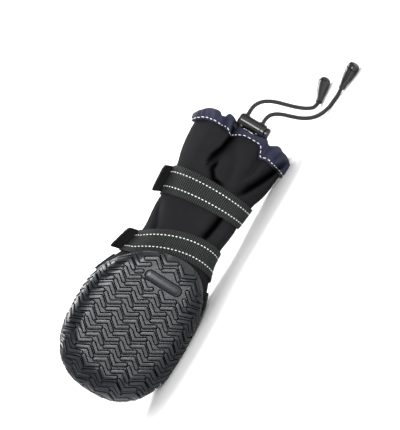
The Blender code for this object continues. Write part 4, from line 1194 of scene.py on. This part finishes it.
# The sole's side from the tread's border to its rim: how far below the rim, as a share of the bead's height,
# and how far inside the surface that the lugs' tops lie on
BEAD_ROWS = (
    (0.97, LUG_HEIGHT),
    (0.90, LUG_HEIGHT),
    (0.80, LUG_HEIGHT - BEAD_RELIEF),
    (0.55, LUG_HEIGHT - 1.25 * BEAD_RELIEF),
    (0.25, LUG_HEIGHT - 1.2 * BEAD_RELIEF),
    (0.06, LUG_HEIGHT - 0.7 * BEAD_RELIEF),
    (0.0, LUG_HEIGHT + 0.0002),
)


def pad_outline(grow, steps=13):
    """The oblong pad: two straight sides and two half-round ends."""
    arc = np.linspace(-math.pi / 2, math.pi / 2, steps)
    radius = PAD_WIDTH / 2 + grow
    reach = (PAD_LENGTH - PAD_WIDTH) / 2
    one_end = np.stack([radius * np.sin(arc), reach + radius * np.cos(arc)], -1)
    return np.concatenate([one_end, -one_end])[::-1] + np.array(PAD_CENTRE)


def tread_plane(tread, border):
    """The tread in the pattern's plane: its points, their heights above the lugs' base, and its triangles."""
    points, heights, edges = [], [], []
    count = 0

    def ring(outline, height):
        nonlocal count
        points.append(outline)
        heights.append(np.full(len(outline), height))
        index = np.arange(len(outline))
        edges.append(np.stack([count + index, count + (index + 1) % len(outline)], 1))
        count += len(outline)

    ring(border, LAND)
    for path in lug_paths(tread):
        for grow, height in LUG_RINGS:
            ring(unskewed(lug_outline(path, LUG_WIDTH / 2 + grow)), height)
    for grow, height in PAD_RINGS:
        ring(unskewed(pad_outline(grow)), height)
    plane, height, edges = np.concatenate(points), np.concatenate(heights), np.concatenate(edges)
    found = delaunay_2d_cdt([Vector(point) for point in plane.tolist()], edges.tolist(), [], 0, 1e-8)
    plane_out = np.array([tuple(point) for point in found[0]])
    height_out = np.array([height[sources[0]] if sources else LAND for sources in found[3]])
    triangles = np.array(found[2])
    inside = tread.holds(plane_out[triangles].mean(1), 0.0)
    return plane_out, height_out, triangles[inside]


def add_outsole(lie, finish):
    """The cup with its whole tread as one piece: lugs in their grooves, thin lands, bead, wall and floor."""
    turn = turns(SOLE_COLUMNS)
    edge, rim = side_of_sole(turn)
    tread = Tread()
    heading = np.interp((turn + math.pi) % (2 * math.pi) - math.pi, tread.turn, tread.heading)
    around = tread.at(tread.reach, heading)
    border = np.stack([-np.cos(heading) * around, np.sin(heading) * around], -1)
    plane, height, triangles = tread_plane(tread, border)
    outside = tread.surface(plane, height)
    bead = [cup_point(turn, rim - BEAD_HEIGHT * below, inset, edge) for below, inset in BEAD_ROWS]
    inner = cup_loops(turn, BASE, edge, rim, np.linspace(1, 0, FLOOR_ROWS))
    middle = np.array([[TOE_TO_WIDEST, BASE, 0.0]])
    points = np.concatenate([outside, *bead, *inner, middle])
    start = len(outside)
    strips = len(bead) + len(inner) - 1
    at_border = squares(SOLE_COLUMNS, 1)
    at_border[:, 2:] += start - SOLE_COLUMNS
    side_faces = np.concatenate([at_border, squares(SOLE_COLUMNS, strips, start)])
    floor_faces = fan(SOLE_COLUMNS, start + strips * SOLE_COLUMNS, len(points) - 1)
    faces = [triangles[:, ::-1], side_faces, floor_faces]
    piece = make_mesh("sole", lie.place(points), faces, finish, None, 38)
    side = np.full(len(points) - start, LUG_HEIGHT)
    # The height measure, which the rubber reads for its painted shade in the grooves
    add_measure(piece, "height", np.clip(np.concatenate([height, side]) / LAND, 0, 1))
    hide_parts("outsole")


# The upper


# Creases of the slack shaft on the side that the camera sees. Each one's route is given by points: shares of
# the shaft's length above the sole and of half the collar's width, towards the top side. Then come its depth
# and its width, in metres, and how sharp it is: 2 is a soft trough and 1 a slit. Last comes the side on which
# its bank is STEEP_WIDTH as wide: 1 is the top side, -1 the floor's side and 0 neither. A crease that is
# deeper than SLIT_DEPTH has painted shade in its slit, which darkens the cloth there.
CREASES = (
    # route, depth, width, sharpness, steep side
    (((1.06, 0.30), (0.956, 0.228), (0.853, 0.266), (0.771, 0.336), (0.713, 0.345)), 0.0110, 0.0030, 1.4, 1),
    (((0.739, 0.185), (0.681, 0.191), (0.629, 0.083), (0.617, -0.11)), 0.0050, 0.0026, 1.4, -1),
    (((0.85, 0.09), (0.73, -0.03), (0.646, -0.08)), 0.0030, 0.0048, 2.0, 0),
    (
        ((0.97, -0.95), (0.878, -0.848), (0.758, -0.69), (0.69, -0.596), (0.63, -0.53)),
        0.0105, 0.0032, 1.4, -1,
    ),
    (((1.06, -0.494), (0.939, -0.456), (0.838, -0.47), (0.737, -0.376)), 0.0044, 0.0028, 1.4, 0),
    (((0.404, -0.456), (0.278, -0.403), (0.176, -0.365)), 0.0090, 0.0030, 1.4, -1),
    (((0.323, 0.725), (0.177, 0.588), (0.091, 0.55)), 0.0036, 0.0018, 1.3, 0),
    (((1.06, 0.502), (0.98, 0.45)), 0.0044, 0.0018, 1.4, 0),
    (((1.06, -0.795), (0.96, -0.752)), 0.0030, 0.0016, 1.4, 0),
    (((0.42, 0.20), (0.30, 0.12), (0.20, 0.10)), 0.0014, 0.0040, 2.0, 0),
)
STEEP_WIDTH = 0.35
SLIT_DEPTH = 0.0045
# The strength of the painted shade in a slit
SLIT_PAINTED_SHADE = 1.2
CREASE_STARTS = (-0.25, 0.2)
CREASE_ENDS = (0.75, 1.2)
# The same for the side that the camera doesn't see, where the creases are guessed
FAR_CREASES = (
    (((0.98, 0.42), (0.86, 0.34), (0.72, 0.40)), 0.0032, 0.0034, 1.6, 0),
    (((1.00, -0.36), (0.88, -0.30), (0.70, -0.16)), 0.0040, 0.0036, 1.5, 0),
    (((0.36, 0.50), (0.26, 0.38), (0.14, 0.42)), 0.0026, 0.0030, 1.6, 0),
    (((0.40, -0.30), (0.30, -0.20), (0.16, -0.24)), 0.0030, 0.0034, 1.5, 0),
    (((0.86, 0.02), (0.78, 0.06), (0.66, 0.02)), 0.0018, 0.0050, 2.0, 0),
)
# Bulges between the creases: their routes as above, how proud they stand and how wide they are, in metres
BULGES = (
    (((0.93, 0.00), (0.80, -0.16), (0.66, -0.24)), 0.0024, 0.0060),
    (((0.95, 0.62), (0.72, 0.58)), 0.0016, 0.0070),
    (((0.90, -0.66), (0.78, -0.50)), 0.0016, 0.0045),
    (((0.32, -0.66), (0.20, -0.60)), 0.0022, 0.0042),
    (((0.30, 0.30), (0.22, 0.28)), 0.0014, 0.0070),
    (((1.06, 0.72), (1.02, 0.62)), 0.0016, 0.0050),
    (((1.04, -0.62), (1.02, -0.64)), 0.0018, 0.0040),
)
# The shaft swells between the straps and above them: where each swelling starts, is full, starts to fade and
# ends, in metres above the sole
SWELLINGS = (
    (LOWER_STRAP_AT + 0.009, 0.026, 0.030, UPPER_STRAP_AT - 0.009),
    (UPPER_STRAP_AT + 0.009, 0.068, 0.072, 0.092),
)
SWELLING = 0.035
# The depth of the shaft's middle, and its change for each metre up the shaft. The creases and bulges of the
# camera's side fade out from so far before it to so far past it, and those of the far side grow from and to
# so far past it.
SHAFT_MIDDLE = 0.59 * INSTEP_HEIGHT
MIDDLE_CHANGE = 0.09
NEAR_FADES = (0.008, 0.004)
FAR_GROWS = (0.002, 0.010)
# The part of the shaft that moves with the collar's edge
NEAR_COLLAR = (0.66 * SHAFT_LENGTH, 0.96 * SHAFT_LENGTH)
# How far the collar's top edge and the navy band's lower edge lie further up than the even band's, in metres,
# by the share of half the collar's width
COLLAR_EDGE = (
    # across, top edge, lower edge
    (-1.10, 0.0005, 0.0040),
    (-0.98, 0.0062, 0.0046),
    (-0.83, 0.0078, 0.0046),
    (-0.72, 0.0072, 0.0034),
    (-0.58, 0.0064, 0.0022),
    (-0.47, 0.0018, -0.0003),
    (-0.34, 0.0040, 0.0058),
    (-0.16, 0.0000, 0.0066),
    (0.00, 0.0000, 0.0062),
    (0.13, 0.0000, 0.0036),
    (0.22, 0.0010, 0.0008),
    (0.30, 0.0038, 0.0030),
    (0.36, 0.0056, 0.0044),
    (0.43, 0.0056, 0.0055),
    (0.50, 0.0014, 0.0060),
    (0.57, 0.0052, 0.0066),
    (0.66, 0.0068, 0.0074),
    (0.82, 0.0072, 0.0084),
    (0.96, 0.0040, 0.0070),
    (1.10, -0.0010, 0.0046),
)


def route_distance(across, up, shares):
    """How far points lie from a route of straight runs, how far along it, as a share, and on which side.

    The side is 1 towards the top side and -1 towards the floor.
    """
    route = np.array(shares) * (SHAFT_LENGTH, COLLAR_WIDTH / 2) + (SOLE_LENGTH, 0)
    best = np.full(across.shape, np.inf)
    place, side = np.zeros(across.shape), np.ones(across.shape)
    runs = np.diff(route, axis=0)
    lengths = np.linalg.norm(runs, axis=1)
    start = 0.0
    for (x, z), (dx, dz), length in zip(route, runs, lengths):
        share = np.clip(((up - x) * dx + (across - z) * dz) / length**2, 0, 1)
        away = np.hypot(up - x - share * dx, across - z - share * dz)
        nearer = away < best
        over = np.sign(dx * (across - z) - dz * (up - x)) * np.sign(dx)
        best = np.where(nearer, away, best)
        side = np.where(nearer, over, side)
        place = np.where(nearer, (start + share * length) / lengths.sum(), place)
        start += length
    return best, place, side


def slack(points):
    """The shaft's and the collar's slack: each crease pushes the side in by depth * exp(-(away/width)^sharp).

    The straps hold the fabric down, and between them it stands a little proud. How much painted shade each
    point gets in a slit comes back with the points, as its hollow measure.
    """
    along, depth, across = points[..., 0], points[..., 1], points[..., 2]
    middle = SHAFT_MIDDLE + MIDDLE_CHANGE * (along - SOLE_LENGTH)
    front = 1 - smooth_step(depth, middle - NEAR_FADES[0], middle + NEAR_FADES[1])
    far = -smooth_step(depth, middle + FAR_GROWS[0], middle + FAR_GROWS[1])
    push, hollow = np.zeros(along.shape), np.zeros(along.shape)
    for table, face in ((CREASES, front), (FAR_CREASES, far)):
        for route, deep, wide, sharp, steep in table:
            away, place, side = route_distance(across, along, route)
            away = away / (wide * np.where(side == steep, STEEP_WIDTH, 1.0))
            fade = smooth_step(place, *CREASE_STARTS) * (1 - smooth_step(place, *CREASE_ENDS))
            push += deep * face * fade * np.exp(-(away**sharp))
            # Painted shade in each deep crease's slit, strongest along its middle line
            hollow += SLIT_PAINTED_SHADE * front * fade * np.exp(-(away**2)) * (deep > SLIT_DEPTH)
    for route, proud, wide in BULGES:
        away = route_distance(across, along, route)[0]
        push -= proud * front * np.exp(-((away / wide) ** 2))
    moved = points.copy()
    moved[..., 1] += push
    up = along - SOLE_LENGTH
    swell = 1.0
    for start, full, fading, end in SWELLINGS:
        swell = swell + SWELLING * (smooth_step(up, start, full) * (1 - smooth_step(up, fading, end)))
    moved[..., 2] *= swell
    moved[..., 1] = middle + (moved[..., 1] - middle) * swell
    return moved, np.clip(hollow, 0, 1)


def add_upper(lie, finish):
    """The softshell upper: denser columns on the camera's side, and denser rows up the shaft."""
    even = turns(UPPER_COLUMNS)
    turn = even + UPPER_CROWDING * np.sin(even)
    at_cup, at_instep, at_shaft = UPPER_ROWS
    in_cup = np.linspace(0, RIM_ROW, at_cup)[:-1]
    over_instep = np.linspace(RIM_ROW, ANKLE_ROW, at_instep)[:-1]
    rows = np.concatenate([in_cup, over_instep, np.linspace(ANKLE_ROW, TOP_ROW, at_shaft)])
    even_surface = last_surface(rows, turn)[0]
    edge, _, up = collar_frame(turn)
    near_collar = smooth_step(even_surface[..., 0] - SOLE_LENGTH, *NEAR_COLLAR)
    shift = collar_shift(edge, band_rise(0.0, TUNNEL_WALL))
    outer, hollow = slack(even_surface + near_collar[..., None] * up * shift[:, None])
    normals = grid_normals(outer)
    from_band = np.abs(outer[..., 0] - INSTEP_BAND_AT) - WEBBING_WIDTH / 2
    under_band = 1 - smooth_step(from_band, BAND_PRESS, 2 * BAND_PRESS)
    floor = under_band * STRAP_OUTSIDE
    inner = lie.place(outer - normals * UPPER_WALL, floor + UPPER_WALL)
    piece = wall_mesh("softshell", lie.place(outer, floor), inner, finish)
    # The painted crease shade, which the softshell's colour reads
    add_measure(piece, "hollow", np.tile(hollow.reshape(-1), 2))
    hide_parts("upper")


def add_insole(lie, finish):
    turn = turns(INSOLE_COLUMNS)
    edge = np.maximum(side_of_sole(turn)[0], UPPER_EDGE_ROUND)
    low = BASE + UPPER_WALL + 2 * GAP
    high = low + INSOLE_THICKNESS
    room = INSOLE_ROOM
    profile = ((low, SOLE_MARGIN), (low, room), ((low + high) / 2, room), (high, room * 2), (high, room * 5))
    loops = [
        tuck_heel(cup_point(turn, np.full_like(turn, depth), low, edge, extra)) for depth, extra in profile
    ]
    ends = [[TOE_TO_WIDEST, low, 0.0], [TOE_TO_WIDEST, high, 0.0]]
    points = np.concatenate([*loops, ends])
    strips = len(loops) - 1
    faces = [
        squares(INSOLE_COLUMNS, strips),
        fan(INSOLE_COLUMNS, 0, len(points) - 2, turned=True),
        fan(INSOLE_COLUMNS, strips * INSOLE_COLUMNS, len(points) - 1),
    ]
    piece = make_mesh("footbed", lie.place(points), faces, finish, None, 50)
    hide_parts("insole")


# Webbing bands, and the loose ends of the straps


WEBBING_CROWN = 0.0002
END_CURL = 0.0006
END_CORNERS = 0.12
# Reflective stitches: their pitch, length and width, in metres
WEBBING_STITCH = (0.00275, 0.00150, 0.00078)
HEM_STITCH = (0.0039, 0.0023, 0.00065)
STITCH_ROWS = (0.24, 0.76)
HEM_STITCH_ROW = 0.16
# A stitch from its start to its end: share of its length, share of its width, and height in metres
STITCH_STATIONS = (
    (0.00, 0.45, 0.00002),
    (0.12, 0.90, 0.00016),
    (0.50, 1.00, 0.00020),
    (0.88, 0.90, 0.00016),
    (1.00, 0.45, 0.00002),
)
# A stitch across: share of its width, share of its height there, and how far its foot is sunk in, in metres
STITCH_SECTION = (
    (-0.5, 0, -0.00015),
    (-0.5, 0, 0),
    (-0.3, 1, 0),
    (0.3, 1, 0),
    (0.5, 0, 0),
    (0.5, 0, -0.00015),
)


def band_grid(band, turn):
    """The outside of a webbing band, with its edges a little rounded, and its inside.

    The band is its place along the boot, its tilt and its bow.
    """
    centre, tilt, bow = band
    shares = np.linspace(-0.5, 0.5, BAND_STATIONS)
    lengths = centre + WEBBING_WIDTH * shares
    crown = WEBBING_CROWN * (1 - (2 * shares) ** 6)
    inner = outline_band(lengths, WEBBING_ROOM, turn, tilt, bow)
    outer = outline_band(lengths, STRAP_OUTSIDE - WEBBING_CROWN, turn, tilt, bow)
    outer = outer + grid_normals(outer) * crown[:, None, None]
    return outer, inner


def add_band(name, node, band, lie, finish, reach=None):
    """A webbing band, all the way round or up to this turn from the middle of the instep."""
    turn = turns(BAND_COLUMNS)
    outer, inner = band_grid(band, turn)
    keep = None
    if reach:
        over_instep = np.cos(turn + math.pi / len(turn)) > math.cos(reach)
        keep = np.broadcast_to(over_instep, (len(outer) - 1, len(turn)))
    piece = wall_mesh(name, lie.place(outer), lie.place(inner, WEBBING_THICKNESS), finish, keep)
    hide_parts(node)


def add_strap_end(name, node, strap, lie, finish):
    """The hook-tape end: a tongue that starts on the strap, follows its hollow there, and stands off it."""
    turn = turns(CAD_COLUMNS)
    column = int(round(END_TURN * CAD_COLUMNS))
    centre, tilt, bow = strap
    lengths = centre + WEBBING_WIDTH * np.array([-0.5, 0.5])
    band = outline_band(lengths, STRAP_OUTSIDE - GAP, turn, tilt, bow)
    low, high = band[0, column], band[-1, column]
    outwards = grid_normals(band)[0, column]
    round_boot = unit(band[0, column + 1] - band[0, column - 1])
    away = unit(round_boot * math.cos(END_STANDS_OFF) + outwards * math.sin(END_STANDS_OFF))
    away = away - np.array([END_TRAIL, 0, 0])
    across = unit(np.cross(high - low, away))
    if across @ outwards < 0:
        across = -across
    inset = unit(high - low) * END_INSET
    along = np.linspace(0, 1, END_ROWS)[:, None, None]
    side = np.linspace(0, 1, END_COLUMNS)[None, :, None]
    straight = low + inset + side * (high - low - 2 * inset)
    shares = (side[0, :, 0] - 0.5) * (1 - 2 * END_INSET / WEBBING_WIDTH)
    root = outline_band(centre + WEBBING_WIDTH * shares, STRAP_OUTSIDE - GAP, turn, tilt, bow)[:, column]
    sheet = straight + (root - straight) * (1 - along) + along * away * END_LENGTH
    corner = 1 - END_CORNERS * np.abs(2 * side - 1) ** 6
    sheet = sheet - away * END_LENGTH * (1 - corner) * smooth_step(along, 0.5, 1.0)
    curl = END_CURL * np.sin(math.pi * along) * across
    outer, inner = sheet + across * END_THICKNESS + curl, sheet + curl
    piece = wall_mesh(name, lie.place(outer), lie.place(inner), finish, closed=False)
    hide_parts(node)


def add_dashes(name, outer, row_share, stitch, finish, keep=None):
    """A row of reflective stitches: small pillows along one line of a band's outside."""
    pitch, length, width = stitch
    normals = grid_normals(outer)
    rows = len(outer) - 1
    at = row_share * rows
    low, part = int(at), at - int(at)
    line = outer[low] * (1 - part) + outer[min(low + 1, rows)] * part
    lift = unit(normals[low])
    closed = np.concatenate([line, line[:1]])
    walked = walk(closed)
    count = int(walked[-1] / pitch)
    starts = np.arange(count) * walked[-1] / count
    if keep is not None:
        column = np.searchsorted(walked, starts, side="right") - 1
        starts = starts[keep[np.clip(column, 0, len(keep) - 1)]]
    shares, wide, high = np.array(STITCH_STATIONS).T
    spots = starts[:, None] + shares * length
    centre = along_line(closed, walked, spots)
    upward = unit(along_line(np.concatenate([lift, lift[:1]]), walked, spots))
    heading = unit(centre[:, -1:] - centre[:, :1])
    across = unit(np.cross(upward, heading))
    ring = []
    for side, rise, foot in STITCH_SECTION:
        up = high[None, :, None] * rise + foot
        ring.append(centre + across * (side * width * wide[None, :, None]) + upward * up)
    points = np.stack(ring, 2)
    points[..., 2] = np.maximum(points[..., 2], 0)
    dashes, stations, corners = points.shape[:3]
    column = np.arange(corners)
    ends = np.stack([column[::-1], (stations - 1) * corners + column])
    base = (np.arange(dashes) * stations * corners)[:, None, None]
    body = squares(corners, stations - 1) + base
    faces = [body.reshape(-1, 4), (ends + base).reshape(-1, corners)]
    make_mesh(name, points.reshape(-1, 3), faces, finish, None, 60)


def add_strap_stitches(name, band, lie, finish, keep_reach=None):
    turn = turns(STITCH_COLUMNS)
    outer = lie.place(band_grid(band, turn)[0])
    keep = None
    if keep_reach:
        keep = np.cos(turn) > math.cos(keep_reach - STITCHES_SHORT)
    for number, share in enumerate(STITCH_ROWS):
        add_dashes(f"{name}_{number + 1}", outer, share, WEBBING_STITCH, finish, keep)


# The collar


GATHERS = 31
GATHER_DEPTH = 0.00025
# The share of their depth that the gathers keep at the fold
GATHERS_KEPT = 0.35
COLLAR_PUFF = 0.0018
PUFF_SHAPE = 0.8
HEM_CURL = 0.0006
# The inside leaf's share of the outside leaf's puff and gathers, the other way
INSIDE_LEAF = -0.4
LEAF_ROWS = 9
# How many rows on either side of the fold's top are open where a cord comes out
EXIT_ROWS = 3


def gathered(turn, share):
    """Small gathers round the collar, uneven in width and depth: deepest at the hem, less at the fold."""
    uneven = turn + 0.05 * np.sin(5 * turn + 0.7) + 0.03 * np.sin(11 * turn + 2.1)
    depth = 0.65 + 0.35 * np.sin(3 * turn + 1.3)
    return GATHER_DEPTH * depth * np.sin(GATHERS * uneven) * (GATHERS_KEPT + (1 - GATHERS_KEPT) * share)


def band_rise(ahead, grow):
    """A length up the boot from the collar's edge, as a share of the way from the band's hem to its top."""
    return (ahead + TUNNEL_LEAF) / (tunnel_profile(grow)[:, 0].max() + TUNNEL_LEAF)


def collar_shift(edge, rise):
    """How far up the boot the navy band is moved, at a share of the way from its hem to its top edge."""
    table = np.array(COLLAR_EDGE)
    top, low = curve_through(table[:, 0], table[:, 1:], edge[:, 2] / (COLLAR_WIDTH / 2)).T
    return low + (top - low) * rise


def collar_surface(turn, grow, bends=13, leaf=LEAF_ROWS):
    """The navy band, outside leaf first, over the cord's fold and down inside: loops round the collar.

    Its leaf puffs out between the hem and the fold, and COLLAR_EDGE moves its two edges up the boot.
    """
    edge, normals, up = collar_frame(turn)
    profile = tunnel_profile(grow, bends)
    share = np.linspace(0, 1, leaf)[:-1, None]
    front = profile[0] + (profile[1] - profile[0]) * share
    back = profile[-2] + (profile[-1] - profile[-2]) * np.linspace(0, 1, leaf)[1:, None]
    profile = np.concatenate([front, profile[1:-1], back])
    rise = band_rise(profile[:, 0], grow)
    outside = np.where(np.arange(len(profile)) < len(front) + bends // 2, 1.0, INSIDE_LEAF)
    puff = COLLAR_PUFF * np.sin(math.pi * np.clip(rise, 0, 1)) ** PUFF_SHAPE
    puff = (puff + HEM_CURL * (1 - rise) ** 4) * outside
    ahead = profile[:, :1] + collar_shift(edge, rise[:, None])
    outwards = profile[:, 1:] + puff[:, None] + gathered(turn, 1 - rise[:, None]) * outside[:, None]
    return edge + up * ahead[..., None] + normals * outwards[..., None]


def add_tunnel(lie, finish, thread):
    turn, exits = tunnel_turns(turns(COLLAR_COLUMNS))
    outer, inner = collar_surface(turn, TUNNEL_WALL), collar_surface(turn, 0.0)
    keep = np.ones((len(outer) - 1, len(turn)), bool)
    top = len(outer) // 2
    for first in exits:
        keep[top - EXIT_ROWS : top + EXIT_ROWS, first] = False
    outer, hollow = slack(outer)
    outside = lie.place(outer)
    inside = lie.place(slack(inner)[0], TUNNEL_WALL * 0.8)
    piece = wall_mesh("collar", outside, inside, finish, keep, sharp=60)
    # The painted crease shade, which the navy's colour reads
    add_measure(piece, "hollow", np.tile(hollow.reshape(-1), 2))
    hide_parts("collar_tunnel")
    add_dashes("stitches_collar", outside[:LEAF_ROWS], HEM_STITCH_ROW, HEM_STITCH, thread)


def main():
    lie = Lie()
    add_camera(lie)
    add_studio()
    cord, plastic = cord_finish(), plastic_finish()
    lock = Lock(lie)
    add_free_cord(0, lock, cord, plastic)
    add_free_cord(1, lock, cord, plastic)
    add_lock(lock, plastic)
    add_drawcord(lie, lock, cord)
    add_outsole(lie, rubber_finish())
    add_upper(lie, softshell_finish())
    add_insole(lie, lining_finish())
    webbing, hook, thread = webbing_finish(), hook_finish(), thread_finish()
    low = (SOLE_LENGTH + LOWER_STRAP_AT, LOWER_STRAP_TILT, LOWER_STRAP_BOW)
    high = (SOLE_LENGTH + UPPER_STRAP_AT, UPPER_STRAP_TILT, UPPER_STRAP_BOW)
    instep = (INSTEP_BAND_AT, 0.0, NO_BOW)
    add_band("band_over_instep", "instep_band", instep, lie, webbing, INSTEP_BAND_REACH)
    add_band("strap_low", "lower_strap", low, lie, webbing)
    add_band("strap_high", "upper_strap", high, lie, webbing)
    add_strap_end("strap_low_end", "lower_strap_end", low, lie, hook)
    add_strap_end("strap_high_end", "upper_strap_end", high, lie, hook)
    add_strap_stitches("stitches_low", low, lie, thread)
    add_strap_stitches("stitches_high", high, lie, thread)
    add_strap_stitches("stitches_instep", instep, lie, thread, INSTEP_BAND_REACH)
    add_tunnel(lie, navy_finish(), thread)


main()
